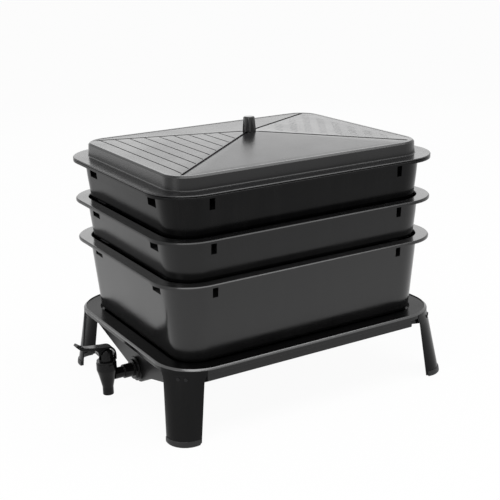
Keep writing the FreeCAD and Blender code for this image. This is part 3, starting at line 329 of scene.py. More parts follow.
def roofHeight(plan, settings):
    # low + (high - low) * share, where share, 0 on the eaves and 1 on the pad, is that of the
    # blended rounded rectangle on which the point lies, found by halving the interval
    eaves, pad = np.array(settings["skirt"]) - settings["lean"], np.array(settings["pad"])
    x, y = np.moveaxis(np.abs(plan), -1, 0)
    low, high = 0 * x, 0 * x + 1
    for _ in range(24):
        share = (low + high) / 2
        halfX, halfY, corner = [eaves[k] + (pad[k] - eaves[k]) * share for k in range(3)]
        outX, outY = x - halfX + corner, y - halfY + corner
        beyond = np.hypot(np.maximum(outX, 0), np.maximum(outY, 0)) + np.minimum(np.maximum(outX, outY), 0)
        inside = beyond < corner
        low, high = np.where(inside, share, low), np.where(inside, high, share)
    return settings["skirtHigh"] + (settings["roofHigh"] - settings["skirtHigh"]) * low


def lidColumns(settings):
    # per column: the side it stands on, its place along a mitred side (share of the straight
    # part, and the distance from the hip for the last few), and its span and angle on a
    # rounded one, where bend is as far round as the corner's evenly spaced columns go
    half, soft, lineEnd, bend, middle = pick(settings, "hipGroove edgeSoft lineEnd bend middle")
    half, soft = half / 2, soft / 2
    near = [0.0, half - soft, half + soft, lineEnd, lineEnd + 2 * soft]
    arc, straight = np.linspace(0, bend, 9), np.linspace(0, 1, 9)
    columns = []
    for k in range(4):
        before, after = sideEnds(k)[1:]
        for sign in (-1, 1):
            corner = before if sign < 0 else after
            part = [(1.0, w, corner, t) for w, t in zip(near, settings["bendNear"])]
            part += [(middle + settings["arc"] * t / bend, near[-1], corner, t) for t in arc[::-1]]
            part += [(middle * u, near[-1], (before * (1 - sign * u) + after * (1 + sign * u)) / 2, 0.0)
                     for u in straight[-2::-1]]
            if sign > 0:
                part = part[-2:0:-1]        # from beside the middle to just before the next hip
            columns += [(k, sign * along, sign * distance, span, math.radians(270.0 + 90 * k + sign * t))
                        for along, distance, span, t in part]
    return [np.array(values) for values in zip(*columns)]


def mitredRings(halves, settings, columns):
    # rectangles whose corners lie on the hips: along a side, a column is either at a share of
    # its straight part or at a set distance from the hip, measured square to the hip
    side, share, away = columns[:3]
    hipX, hipY = settings["hip"]
    turn = math.atan2(hipY, hipX)
    halves = np.asarray(halves, float)[:, None]
    other = halves * hipY / hipX
    alongX = side % 2 == 0
    reach = np.where(alongX, halves, other)
    slant = np.where(alongX, math.sin(turn), math.cos(turn))
    along = np.sign(share) * (reach - np.abs(away) / slant) * np.abs(share)
    out = np.where(alongX, other, halves)
    normal = np.array([(0, -1), (1, 0), (0, 1), (-1, 0)])[side]
    tangent = np.array([(1, 0), (0, 1), (-1, 0), (0, -1)])[side]
    return out[..., None] * normal + along[..., None] * tangent


def lidRows(settings):
    # the lid's section from the eaves down the skirt, over the flange and up to the ceiling
    skirt, flange, lip, pad = (np.array(plan) for plan in pick(settings, "skirt flange lip pad"))
    high, roofHigh, skin, thick, deep = pick(settings, "skirtHigh roofHigh skin flangeThick lipDeep")
    eaves, rise = skirt - settings["lean"], settings["beadHigh"]
    inner = settings["eavesRound"] - skin
    return spread([
        (eaves, [(-10.0, high + 0.72), (-8.6, high + 0.66), (-7.6, high + rise - 0.15), (-7.0, high + rise)]),
        (eaves, brokenEdge(0, high + rise, settings["beadRound"])),
        (skirt, turnRound((1.8, thick + 2.0), 2.0, 183, 270, 5)),
        (flange, brokenEdge(0, thick, 1.2)),
        (flange, turnRound((-0.7, 0.7), 0.7, 0, -90, 4)),
        (lip, turnRound((1.0, -1.0), 1.0, 90, 180, 3)),
        (lip, turnRound((-0.8, 0.8 - deep), 0.8, 0, -90, 3)),
        (lip, turnRound((0.8 - skin, 0.8 - deep), 0.8, -90, -180, 3)),
        (lip, [(-skin, -0.2), (-skin - 0.3, 0.0)]),
        (skirt - skin, [(0.6, 0.0), (0.0, 0.6)]),
        (eaves - skin, turnRound((-0.953 * inner, high - skin - 0.922 * inner), inner, 3, 85.1, 6)),
        *(((eaves - skin) * (1 - part) + pad * part, [(0.0, high - skin + (roofHigh - high) * part)])
          for part in np.linspace(0.05, 1, 6)),
    ])


def makeLid(settings=lidSettings):
    # mitred rings over the roof, its height less the depth of the hip and line grooves, then
    # rounded rectangles down the outside and up the inside, closed at the crown
    columns = lidColumns(settings)
    side, share, away, spans, angles = columns
    hip, roofHigh, lineStep = settings["hip"][0], settings["roofHigh"], settings["lineStep"]
    soft, half = settings["edgeSoft"] / 2, settings["lineGroove"] / 2
    lines = settings["lineFirst"] - lineStep * np.arange(settings["lineCount"])
    cut = lines[:, None] + (-half - soft, soft - half, half - soft, half + soft)
    ends = [hip - settings["hipSoft"], hip + settings["hipSoft"]]
    halves = np.sort(np.concatenate([settings["crownRings"], cut.ravel(), ends]))
    plan = mitredRings(halves, settings, columns)
    height = roofHeight(plan, settings)
    inHip = (np.abs(away) < settings["hipGroove"] / 2) & (np.abs(share) == 1)
    height -= np.where((halves < hip)[:, None] & inHip, settings["hipCut"], 0)
    inLine = np.abs(halves[:, None] - lines).min(1) < half
    onEnd = (side == 3) & (np.abs(away) > settings["lineEnd"] + soft)
    height -= np.where(inLine[:, None] & onEnd, settings["lineCut"], 0)
    points = np.concatenate([lifted(plan, height), aroundRectangle(lidRows(settings), spans, angles)])
    faces = closedFaces(*points.shape[:2])
    points = np.concatenate([points.reshape(-1, 3), [(0, 0, roofHigh), (0, 0, roofHigh - settings["skin"])]])
    addMesh("lid_shell", points, faces, "cover", "bin_plastic", ("lid",), place=(0.0, lidFoot))


def makeDashes(settings=lidSettings):
    # low bars along Y on the far triangle, each a tapered block whose foot follows the roof
    dash, (hipX, hipY) = settings["dashes"], settings["hip"]
    line, turn = np.meshgrid(np.arange(*dash["lines"]), np.arange(*dash["places"]), indexing="ij")
    middle = np.stack([line * dash["step"], line * dash["shift"] + turn * dash["pitch"]], -1).reshape(-1, 2)
    size = np.array([dash["wide"], dash["long"]])
    middle = middle[np.abs(middle[:, 1]) + size[1] / 2 < middle[:, 0] * hipY / hipX - dash["clear"]]
    corner = np.array([(-1, -1), (1, -1), (1, 1), (-1, 1)])
    plan = np.concatenate([middle[:, None] + corner * (size / 2 - less) for less in (0.0, dash["taper"])], 1)
    height = roofHeight(plan, settings) + np.repeat([-dash["sunk"], dash["high"]], 4)
    block = np.array([(3, 2, 1, 0), (4, 5, 6, 7), (0, 1, 5, 4), (1, 2, 6, 5), (2, 3, 7, 6), (3, 0, 4, 7)])
    faces = (block + 8 * np.arange(len(middle))[:, None, None]).reshape(-1, 4).tolist()
    addMesh("lid_dashes", lifted(plan, height), faces, "cover", "bin_plastic", ("lid",), place=(0.0, lidFoot))


makeLid()
makeDashes()
print("lid made")


# knob

knobSettings = {
    "foot": 13.25, "neck": 11.25, "shoulder": 26.0, "dome": 8.0, "high": 30.0,
    "flutes": 8, "fluteRadius": 4.5, "fluteIn": 2.6, "lobeSoft": 0.5,
}


def makeKnob(settings=knobSettings):
    # radius(angle, height) = the turned outline, or the side of the nearest flute where that
    # is nearer to the axis, the two joined with a soft minimum
    foot, neck, shoulder, dome, high = pick(settings, "foot neck shoulder dome high")
    flutes, deep, curve, soft = pick(settings, "flutes fluteIn fluteRadius lobeSoft")
    turn = np.linspace(0, 2 * math.pi, 192, endpoint=False)
    outline = [(foot - 0.6, 0.0), (foot - 0.1, 0.5)]
    outline += [(foot + (neck - foot) / shoulder * z, z) for z in np.linspace(1.2, shoulder - 1, 12)]
    outline = np.concatenate([outline, turnRound((dome - 0.4, high - 3.6), 3.6, 12, 88, 9)])
    angle = ((turn * flutes / (2 * math.pi) + 0.5) % 1 - 0.5) * 2 * math.pi / flutes
    middle = foot + curve - deep
    inside = np.maximum(curve ** 2 - (middle * np.sin(angle)) ** 2, 0)
    hollow = np.where(inside > 0, middle * np.cos(angle) - np.sqrt(inside), foot + 4)
    full = outline[:, :1] + 0 * turn
    sunk = np.minimum(hollow, full + 3)
    radius = -soft * np.log(np.exp(-full / soft) + np.exp(-sunk / soft))
    points = lifted(polar(radius, turn), outline[:, 1:])
    faces = closedFaces(*points.shape[:2])
    points = np.concatenate([points.reshape(-1, 3), [(0, 0, 0), (0, 0, high)]])
    addMesh("lid_knob_fluted", points, faces, "cover", "knob_plastic", ("lid_knob",), sharp=60,
            place=(0.0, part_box("lid_knob")[0][2]))


makeKnob()
print("knob made")


# collector base

baseSettings = {
    "rim": (300.4, 239.2, 85.0), "well": (268.5, 204.0, 54.0), "ledge": (242.0, 178.0, 30.0),
    "columns": (14, 6, 4),  # steps round a corner, along a side and along an end
    "rimTop": 138.0, "rimLow": 128.0, "bead": 3.0, "beadHigh": 1.6, "deckSkin": 3.4, "seat": 130.0,
    "sumpTop": 133.5, "skin": 3.0, "flat": 25.0, "sumpSoft": 2.2,
    # the sump's sections: x, half width, height of the lower edge and of the middle
    "floor": ((-283.0, 188.0, 113.0, 112.0), (-265.3, 188.0, 113.0, 111.5), (-265.0, 188.0, 91.0, 50.0),
              (-236.0, 235.0, 113.0, 53.1), (222.0, 235.0, 113.0, 104.0), (283.0, 168.0, 113.0, 110.0)),
    "endWall": 260.0,  # points beyond this x belong to an end wall
    "wellRadius": 28.0, "wellLong": 48.0, "tapHigh": 60.0, "tapFace": 265.0,
    "bossRadius": 33.0, "bossLow": 111.0, "bossHigh": 128.0, "bossSteps": 48,
}


def addBaseMesh(name, points, faces, sharp=35):
    return addMesh("collector_base_" + name, points, faces, "stand", "bin_plastic",
                   ("collector_base",), sharp)


def plainColumns(quarter, along, across):
    # spans and angles round a rounded rectangle, with equal steps on each straight side
    spans, angles = [], []
    for k, count in enumerate((along, across, along, across)):
        turn, before, after = sideEnds(k)
        share = np.linspace(0, 1, count + 1)[:, None]
        spans += [before * (1 - share) + after * share, np.tile(after, (quarter - 1, 1))]
        angles += [np.full(count + 1, turn), turn + np.linspace(0, math.pi / 2, quarter + 1)[1:-1]]
    return np.concatenate(spans), np.concatenate(angles)


def makeBaseRim(settings=baseSettings):
    # the rim's section, closed on itself: ledge, well, deck, bead, outer face and underside
    rim, well, ledge, skin = pick(settings, "rim well ledge skin")
    top, low, bead, seat, deckSkin = pick(settings, "rimTop rimLow bead seat deckSkin")
    deck = top - settings["beadHigh"]
    underDeck, underSeat = deck - deckSkin, seat - deckSkin
    upper = spread([
        (ledge, turnRound((1.0, seat - 1.0), 1.0, 180, 90, 4)),
        (well, [(-0.8, seat), (-0.2, seat + 0.3), (0.0, seat + 0.9)]),
        (well, turnRound((1.2, deck - 1.2), 1.2, 180, 90, 4)),
        (rim, [(-bead - 1.9, deck), (-bead - 1.3, deck + 0.15), (-bead - 0.9, top - 0.1)]),
    ])
    edge = spread([(rim, brokenEdge(0, top, bead))])
    lower = spread([
        (rim, turnRound((-0.4, low + 0.4), 0.4, 0, -90, 4)),
        (rim, turnRound((-bead + 0.8, low + 0.8), 0.8, -90, -180, 4)),
        (rim, turnRound((-bead - 1.0, underDeck - 1.0), 1.0, 0, 90, 3)),
        (well, [(skin + 0.6, underDeck), (skin, underDeck - 0.6)]),
        (well, [(skin, underSeat + 0.4), (skin - 0.4, underSeat)]),
        (ledge, turnRound((0.6, underSeat + 0.6), 0.6, 270, 180, 3)),
    ])
    spans, angles = plainColumns(*settings["columns"])
    points = aroundRectangle(np.concatenate([upper, edge, lower]), spans, angles)
    faces = bandFaces(len(points), len(angles), wrap=True)
    # each face's look: 0 outer face and underside, 1 bead with a painted highlight, 2 the deck and what lies
    # inside it, painted dark as shade
    band = np.arange(len(faces)) // len(angles) + 1
    looks = np.where(band < len(upper), 2, np.where(band < len(upper) + len(edge), 1, 0))
    return addBaseMesh("rim", points, faces), looks


baseRim, rimLooks = makeBaseRim()
print("base rim made")


def makeSump(settings=baseSettings):
    # the sump below the rim: an eight-sided skirt, and a floor of six cross-sections, each a
    # shallow trough from one lower edge to a flat middle and up to the other edge. A section's
    # loop runs over its outside and back over its inside, a skin's thickness away
    skin, top, flat, endWall = pick(settings, "skin sumpTop flat endWall")
    x, half, edge, low = np.array(settings["floor"]).T
    side = [-half, -half, -flat + 0 * x, flat + 0 * x, half, half]
    outer = np.stack([np.tile(x, (6, 1)), side, [top + 0 * x, edge, low, low, edge, top + 0 * x]], -1)
    outer = outer.transpose(1, 0, 2)
    inner = outer.copy()
    for axis, beyond in ((0, endWall), (1, flat)):
        inner[..., axis] -= skin * np.sign(inner[..., axis]) * (np.abs(inner[..., axis]) > beyond)
    inner[:, 1:5, 2] += skin
    inner[0, 2:4, 2] = low[0] + 1
    points = np.concatenate([outer, inner[:, ::-1]], 1)
    loop = points.shape[1]
    faces = bandFaces(len(x), loop)
    for start, step in ((0, -1), ((len(x) - 1) * loop, 1)):
        for face in ((0, 1, 2, 3, 4, 5), (6, 7, 8, 9, 10, 11), (5, 6, 11, 0)):
            faces.append([start + v for v in face[::step]])
    return addBaseMesh("sump", points, faces, sharp=60)


def makeTapWell(settings=baseSettings):
    # half a drum below the sump's floor, round the tap's inlet: a profile of (x, radius)
    # turned through the lower half circle, with its two ends closed
    face, long, radius, skin = pick(settings, "tapFace wellLong wellRadius skin")
    end = long - face
    profile = np.array([(-face - 0.3, 0.5), (-face - 0.3, radius - 1.0), (-face + 0.7, radius), (end, radius),
                        (end, 0.5), (end - skin, 0.5), (end - skin, radius - skin),
                        (skin - face, radius - skin), (skin - face, 0.5)])
    turn = np.radians(np.linspace(180, 360, 33))[:, None]
    along, across = profile.T
    points = np.roll(lifted(polar(across, turn), along), 1, -1) + (0, 0, settings["tapHigh"])
    count = len(profile)
    addBaseMesh("tap_well", points, bandFaces(len(turn), count) + capFaces(count, (len(turn) - 1) * count))


# legs and their caps

legSettings = {
    # sections of the leg and of its cap: height, centre, outer radius, inner radius, half angle
    "foot": (2.5, -9.535, 37.4, 34.4, 63.6), "top": (128.3, -85.0, 86.0, 83.0, 27.1),
    "sole": (0.0, -9.0, 39.2, 32.6, 58.0), "brim": (11.0, -12.655, 40.5, 33.9, 55.9),
    "arcSteps": 32, "between": (6.0, 11.0, 30.0, 60.0, 90.0, 106.0),
    "soft": 0.9, "flare": 0.12, "flareLow": 112.0, "tongue": 134.2,
    # the cap's rounding: height above the sole or from the brim, and how far in
    "capSole": ((0.0, 2.4), (0.3, 1.5), (1.1, 0.7), (2.4, 0.2), (4.5, 0.0)),
    "capBrim": ((-1.3, 0.0), (-0.4, 0.4), (0.0, 1.3)), "capSoft": 1.2,
    # the leg's inner face along the diagonal, above the floor, and the boss's face inside it
    "bossTop": 27.4, "bossFall": 0.21406, "bossIn": 3.1,
}
corners = {"front_left": (-1, -1), "front_right": (1, -1), "back_right": (1, 1), "back_left": (-1, 1)}


def channelSection(centre, outer, inner, halfAngle, soft, steps=legSettings["arcSteps"]):
    # a closed loop about (centre, 0): the outer arc, a softened end, the inner arc, a softened end
    angle = math.radians(halfAngle)
    arc = np.linspace(-1, 1, steps + 1)
    tipRadius = np.array([outer - 0.3 * soft, outer - soft, inner + soft, inner + 0.3 * soft])
    tipTurn = angle - np.array([0.3, 0.0, 0.0, 0.3]) * soft / outer
    radius = np.concatenate([0 * arc + outer, tipRadius, 0 * arc + inner, tipRadius[::-1]])
    turn = np.concatenate([arc * (angle - soft / outer), tipTurn,
                           -arc * (angle - soft / inner), -tipTurn[::-1]])
    return polar(radius, turn) + (centre, 0)


def atCorner(plan, corner, settings=baseSettings):
    # turns (outwards, across) measured from the middle of the rim's corner arc into x and y
    sx, sy = corner
    halfX, halfY, radius = settings["rim"]
    diagonal = radius * (1 - math.sqrt(0.5))
    place = np.array([sx * (halfX - diagonal), sy * (halfY - diagonal)])
    outward = np.array([sx, sy]) * math.sqrt(0.5)
    across = np.array([-outward[1], outward[0]])
    return place + plan[..., :1] * outward + plan[..., 1:] * across


def makeChannel(name, sections, heights, corner, slot, nodes, steps=legSettings["arcSteps"]):
    # sections stacked at their heights and turned to the corner's diagonal
    plan = atCorner(np.array(sections), corner)
    points = lifted(plan, np.array(heights)[:, None])
    count = plan.shape[1]
    faces = bandFaces(len(heights), count)
    # each end is closed by quads across the wall, between the outer and the inner arc
    near, far = np.arange(steps), 2 * steps + 4 - np.arange(steps)
    ends = np.stack([near, near + 1, far, far + 1], -1).tolist()
    ends += [list(range(steps, steps + 6)), [*range(2 * steps + 5, count), 0]]
    for start, step in ((0, -1), ((len(heights) - 1) * count, 1)):
        faces += [[start + v for v in face[::step]] for face in ends]
    addMesh(name, points, faces, "stand", slot, nodes)


def makeLeg(name, corner, settings=legSettings):
    # straight lines from each point of the foot's section to the same point of the top's,
    # with a small flare below the rim
    footHigh, *foot = settings["foot"]
    topHigh, *top = settings["top"]
    flareLow, radius = settings["flareLow"], top[1]
    foot, top = channelSection(*foot, settings["soft"]), channelSection(*top, settings["soft"])
    heights = np.concatenate([[footHigh], settings["between"], np.linspace(flareLow, topHigh, 9)])
    share = ((heights - footHigh) / (topHigh - footHigh))[:, None, None]
    sections = foot * (1 - share) + top * share
    rise = np.clip((heights - flareLow) / (topHigh - flareLow), 0, 1) ** 1.5
    # the flare widens a section along the top's own arc, so it doesn't stand off the rim
    across = sections[..., 1].copy()
    sections[..., 1] *= 1 + settings["flare"] * rise[:, None]
    sections[..., 0] += np.sqrt(radius ** 2 - sections[..., 1] ** 2) - np.sqrt(radius ** 2 - across ** 2)
    # above the rim's lower edge the leg runs straight up, flush with the rim's face
    sections = np.concatenate([sections, sections[-1:] - (0.2, 0.0)])
    heights = np.append(heights, settings["tongue"])
    makeChannel(name + "_leg_channel", sections, heights, corner, "leg_plastic", (name + "_leg",))


def makeFootCap(name, corner, settings=legSettings):
    # a slug of the channel's section, a little larger than the leg all round, with soft edges
    low, *sole = settings["sole"]
    high, *brim = settings["brim"]
    sole, brim = np.array(sole), np.array(brim)
    rounding = [(low + z, less) for z, less in settings["capSole"]]
    rounding += [(high + z, less) for z, less in settings["capBrim"]]
    sections = []
    for z, less in rounding:
        centre, outer, inner, halfAngle = sole + (brim - sole) * z / high
        sections.append(channelSection(centre, outer - less, inner + less, halfAngle - less,
                                       settings["capSoft"]))
    makeChannel(name + "_foot_cap_shell", sections, [z for z, less in rounding], corner, "foot_plastic",
                (name + "_foot_cap",))


def makeBoss(name, corner, settings=baseSettings):
    # a leaning round boss against the inside of the leg, where its screws bite
    radius, low, high, count = pick(settings, "bossRadius bossLow bossHigh bossSteps")
    top, fall, gap = pick(legSettings, "bossTop bossFall bossIn")
    turn = np.linspace(0, 2 * math.pi, count, endpoint=False)
    heights = np.array([[low], [high]])
    middle = top - fall * heights - gap - radius
    plan = polar(radius, turn) + np.stack([middle, 0 * middle], -1)
    addBaseMesh(name + "_boss", lifted(atCorner(plan, corner), heights),
                bandFaces(2, count) + capFaces(count, count))


def soften(piece, width, angle=25):
    # rounds a piece's edges before its normals are evened
    bevel = piece.modifiers.new("softEdges", "BEVEL")
    bevel.width, bevel.segments = width * mm, 3
    bevel.limit_method, bevel.angle_limit = "ANGLE", math.radians(angle)
    piece.modifiers.move(len(piece.modifiers) - 1, 0)


for makePart in (makeLeg, makeFootCap, makeBoss):
    for name, corner in corners.items():
        makePart(name, corner)
soften(makeSump(), baseSettings["sumpSoft"])
makeTapWell()
print("stand made")


# tap

tapSettings = {
    "place": (-329.5, 60.0),  # x from the stack's middle, and height, of the spout's axis
    # barrel outline from the spout's mouth up: radius, height
    "barrel": ((7.5, -20.0), (7.5, -37.5), (10.6, -37.5), (10.6, -22.0), (16.0, 2.0), (19.5, 14.0),
               (19.5, 28.0), (13.5, 28.0), (13.5, 20.0)),
    # inlet outline from the barrel to the wall: distance, radius
    "inlet": ((8.0, 10.8), (33.0, 10.8), (33.0, 13.5), (52.0, 13.5), (52.0, 19.5), (57.5, 19.5),
              (57.5, 24.0), (61.2, 24.0), (61.2, 10.0), (92.0, 10.0), (92.0, 6.5), (61.0, 6.5)),
    "soft": 1.0, "pinHigh": 44.0, "archIn": 15.2, "eye": 6.5, "crownRound": 30.0,
    "stub": ((7.0, 58.6), (-7.0, 58.2)), "stubWide": 11.2,
    "plug": ((13.0, 3.1), (13.7, 3.1), (13.95, 2.8)),  # distance from the middle plane, radius
    # the lever's side outline from the hood's back foot over the crown to the tip and back below
    "hoodTop": ((15.4, 34.0), (17.6, 34.0), (17.8, 44.0), (17.0, 50.5), (14.4, 56.0), (10.4, 59.8),
                (5.5, 61.5), (0.0, 61.9), (-10.0, 62.7), (-22.0, 64.6), (-34.0, 66.4), (-46.0, 69.4),
                (-57.0, 77.5)),
    "hoodLow": ((-60.5, 74.0), (-53.0, 66.5), (-46.0, 62.8), (-38.0, 60.6), (-30.0, 59.6), (-22.0, 58.6),
                (-18.5, 55.0), (-17.6, 50.0), (-17.2, 45.5), (-15.2, 45.5)),
    "wideAt": ((-26.0, -12.0), (16.0, 22.0)), "leverSoft": 1.3,
}


def softProfile(outline, radius, steps=4):
    # a closed outline whose corners are curves of about the given radius, or less on short
    # sides: start * (1 - s)^2 + 2 * corner * s * (1 - s) + end * s^2, from start to end on
    # the two sides, each a cut away from the corner
    outline = np.asarray(outline, float)
    before, after = np.roll(outline, 1, 0) - outline, np.roll(outline, -1, 0) - outline
    longBefore, longAfter = np.linalg.norm(before, axis=1), np.linalg.norm(after, axis=1)
    before, after = before / longBefore[:, None], after / longAfter[:, None]
    half = np.arccos(np.clip((before * after).sum(1), -1, 1)) / 2
    cut = np.minimum(radius / np.tan(half), 0.42 * np.minimum(longBefore, longAfter))
    share = np.linspace(0, 1, steps + 1)[None, :, None]
    start, end = ((outline + way * cut[:, None])[:, None] for way in (before, after))
    middle = outline[:, None]
    return (start * (1 - share) ** 2 + 2 * middle * share * (1 - share) + end * share ** 2).reshape(-1, 2)


def addTapMesh(name, points, faces, body, nodes=(), sharp=50, settings=tapSettings):
    # a mesh whose points are measured from the spout's axis, at the height of the inlet's
    x, z = settings["place"]
    return addMesh(name, points, faces, body, "tap_plastic", nodes, sharp, (x * mm, z * mm))


def turned(name, outline, alongX, settings=tapSettings):
    # a closed outline turned about the spout's axis, or about the inlet's where alongX is set:
    # (radius * cos, radius * sin, along), or (along, radius * cos, radius * sin)
    outline = softProfile(outline, settings["soft"])
    turn = np.linspace(0, 2 * math.pi, 96, endpoint=False)[:, None]
    along, radius = outline.T if alongX else outline.T[::-1]
    points = lifted(polar(radius, turn), along)
    addTapMesh(name, np.roll(points, 1, -1) if alongX else points,
               bandFaces(len(turn), len(outline), wrap=True), "stand", ("tap_body",))


def slab(name, outline, wide):
    # a side outline in the tap's upright plane, set at y = -wide / 2 and at y = wide / 2
    x, z = np.asarray(outline, float).T
    points = np.stack([np.column_stack([x, side * wide / 2 + 0 * x, z]) for side in (-1, 1)])
    return addTapMesh(name, points, bandFaces(2, len(x)) + capFaces(len(x), len(x)), "lever", ("tap_lever",))


def makeTap(settings=tapSettings):
    # the lever's outline runs over the hood to the tip, back below and round the pin's arch
    turned("tap_barrel", settings["barrel"], False)
    turned("tap_inlet", settings["inlet"], True)
    pin = (0.0, settings["pinHigh"])
    under = turnRound(pin, settings["archIn"], 165, 0, 31)
    top, low, crownRound = pick(settings, "hoodTop hoodLow crownRound")
    outline = np.concatenate([top[:2], softProfile(top, crownRound)[10:-5], top[-1:], low[:1],
                              softProfile(low, crownRound)[5:-5], low[-1:], under])
    arm = slab("tap_lever_arm", outline, np.interp(outline[:, 0], *settings["wideAt"]))
    soften(arm, settings["leverSoft"], 40)
    stub = np.concatenate([turnRound(pin, settings["eye"], 180, 360, 17), settings["stub"]])
    slab("tap_lever_stub", stub, settings["stubWide"])
    # a plug over each end of the lever's pin
    turn = np.linspace(0, 2 * math.pi, 32, endpoint=False)
    out, radius = np.array(settings["plug"]).T[:, :, None]
    for side, name in ((-1, "front"), (1, "back")):
        ring = np.stack([radius * np.cos(turn), side * (out + 0 * turn), pin[1] + radius * np.sin(turn)], -1)
        addTapMesh("tap_pin_plug_" + name, ring, bandFaces(3, 32) + capFaces(32, 64), "stand", sharp=35)


makeTap()
print("tap made")


# shared effects

def feed(tree, value, socket):
    # a uniform value goes on the socket itself, and another node's output is linked to it
    if isinstance(value, bpy.types.NodeSocket):
        tree.links.new(value, socket)
    else:
        socket.default_value = value


def newNode(tree, kind, output=0, **inputs):
    # a node with its named inputs fed, spaces in their names written as underscores
    node = tree.nodes.new("ShaderNode" + kind)
    for name, value in inputs.items():
        feed(tree, value, node.inputs[name.replace("_", " ")])
    return node.outputs[output]


def mathNode(tree, operation, *values, clamp=False):
    node = tree.nodes.new("ShaderNodeMath")
    node.operation, node.use_clamp = operation, clamp
    for socket, value in zip(node.inputs, values):
        feed(tree, value, socket)
    return node.outputs[0]


def noiseNode(tree, vector, scale, detail, roughness):
    return newNode(tree, "TexNoise", "Fac", Vector=vector, Scale=scale, Detail=detail, Roughness=roughness)


def rangeNode(tree, value, start, end):
    # the span start (low, high) laid on the span end
    return newNode(tree, "MapRange", "Result", Value=value, From_Min=start[0], From_Max=start[1],
                   To_Min=end[0], To_Max=end[1])


def newGroup(name, inputs, outputs):
    # a shader node group whose inputs are its vector and floats with values, and whose
    # outputs are floats
    group = bpy.data.node_groups.new(name, "ShaderNodeTree")
    group.interface.new_socket("Vector", in_out="INPUT", socket_type="NodeSocketVector")
    for label, value in inputs.items():
        socket = group.interface.new_socket(label, in_out="INPUT", socket_type="NodeSocketFloat")
        socket.default_value = value
    for label in outputs:
        group.interface.new_socket(label, in_out="OUTPUT", socket_type="NodeSocketFloat")
    return group, group.nodes.new("NodeGroupInput").outputs, group.nodes.new("NodeGroupOutput").inputs


def makeGrainGroup():
    # moulded grain: fine noise as a height, and a slow cloud that shifts colour and roughness
    group, given, result = newGroup("mouldedGrain", {"Fineness": 900.0, "Cloud": 9.0}, ("Height", "Mottle"))
    feed(group, noiseNode(group, given["Vector"], given["Fineness"], 2.0, 0.6), result["Height"])
    feed(group, noiseNode(group, given["Vector"], given["Cloud"], 4.0, 0.55), result["Mottle"])
    return group


def makeStreakGroup():
    # flow marks: noise drawn out along the height, (noise - low) / (high - low) kept in 0 to 1
    group, given, result = newGroup("flowStreaks", {"Low": 0.45, "High": 0.75}, ("Mask",))
    drawn = newNode(group, "Mapping", "Vector", Vector=given["Vector"], Scale=(60.0, 60.0, 3.0))
    above = mathNode(group, "SUBTRACT", noiseNode(group, drawn, 1.0, 3.0, 0.6), given["Low"])
    span = mathNode(group, "SUBTRACT", given["High"], given["Low"])
    feed(group, mathNode(group, "DIVIDE", above, span, clamp=True), result["Mask"])
    return group


grainGroup = makeGrainGroup()
streakGroup = makeStreakGroup()


# materials

# looks: colour at the mottle's low end, paler colour at its high end, span of roughness,
# specular level and share of the flow marks; then the bump's height in metres and the noise's
# scale, where they aren't the common ones
lookKeys = ("colour", "paler", "rough", "specular", "streaks", "grain", "fineness")
commonGrain = (0.00003, 1300.0)
plastics = {
    # lid, trays and sump below: copies of one black plastic made paler or darker and more or less glossy as
    # painted light and shade, the top tray darkest and the lower trays and lid paler
    "lid": ((0.008, 0.008, 0.0083), (0.013, 0.013, 0.0133), (0.22, 0.29), 0.38, 0.2),
    "topTray": ((0.0015, 0.0015, 0.0017), (0.0045, 0.0045, 0.0047), (0.15, 0.22), 0.13, 0.9),
    "middleTray": ((0.004, 0.004, 0.0042), (0.008, 0.008, 0.0082), (0.15, 0.22), 0.32, 0.5),
    "lowerTray": ((0.006, 0.006, 0.0062), (0.010, 0.010, 0.0102), (0.15, 0.22), 0.5, 0.5),
    "base": ((0.004, 0.004, 0.0042), (0.007, 0.007, 0.0072), (0.13, 0.19), 0.34, 0.3),
    "sump": ((0.006, 0.006, 0.0062), (0.010, 0.010, 0.0102), (0.36, 0.44), 0.34, 0.3),
    # bead: a paler black at full specular level, a painted highlight along the rim's top edge
    "bead": ((0.012, 0.012, 0.0122), (0.020, 0.020, 0.0202), (0.16, 0.22), 1.0, 0.0, 0.00001, 1300.0),
    # deck: near black with almost no specular level, painted shade on the deck and in the well under the tray
    "deck": ((0.0008, 0.0008, 0.0009), (0.002, 0.002, 0.0021), (0.2, 0.28), 0.05, 0.0),
    "leg": ((0.0035, 0.0035, 0.0037), (0.0065, 0.0065, 0.0067), (0.18, 0.25), 0.12, 0.3),
    "foot": ((0.012, 0.012, 0.0125), (0.017, 0.017, 0.0175), (0.36, 0.46), 0.3, 0.0, 0.00006, 900.0),
    "knob": ((0.003, 0.003, 0.0032), (0.005, 0.005, 0.0052), (0.07, 0.12), 0.5, 0.0, 0.000005, 600.0),
    "tap": ((0.003, 0.003, 0.0032), (0.006, 0.006, 0.0062), (0.10, 0.16), 0.16, 0.0, 0.00002, 900.0),
    "screw": ((0.008, 0.008, 0.009), (0.012, 0.012, 0.012), (0.38, 0.5), 0.2, 0.0, 0.00002, 1500.0),
    "rubber": ((0.010, 0.010, 0.010), (0.017, 0.017, 0.017), (0.55, 0.68), 0.3, 0.0, 0.00008, 800.0),
}
zinc = {"cloud": 350.0, "dark": (0.35, (0.42, 0.43, 0.45)), "pale": (0.65, (0.62, 0.62, 0.61)),
        "rough": (0.28, 0.45)}
mottle = {"share": 0.6, "span": (0.3, 0.7)}      # its part in the colour, and the noise's usual span


def newMaterial(name):
    material = bpy.data.materials.new(name)
    material.use_nodes = True
    tree = material.node_tree
    return material, tree, tree.nodes["Principled BSDF"].inputs


def groupNode(tree, group, **inputs):
    node = tree.nodes.new("ShaderNodeGroup")
    node.node_tree = group
    for name, value in inputs.items():
        feed(tree, value, node.inputs[name])
    return node.outputs


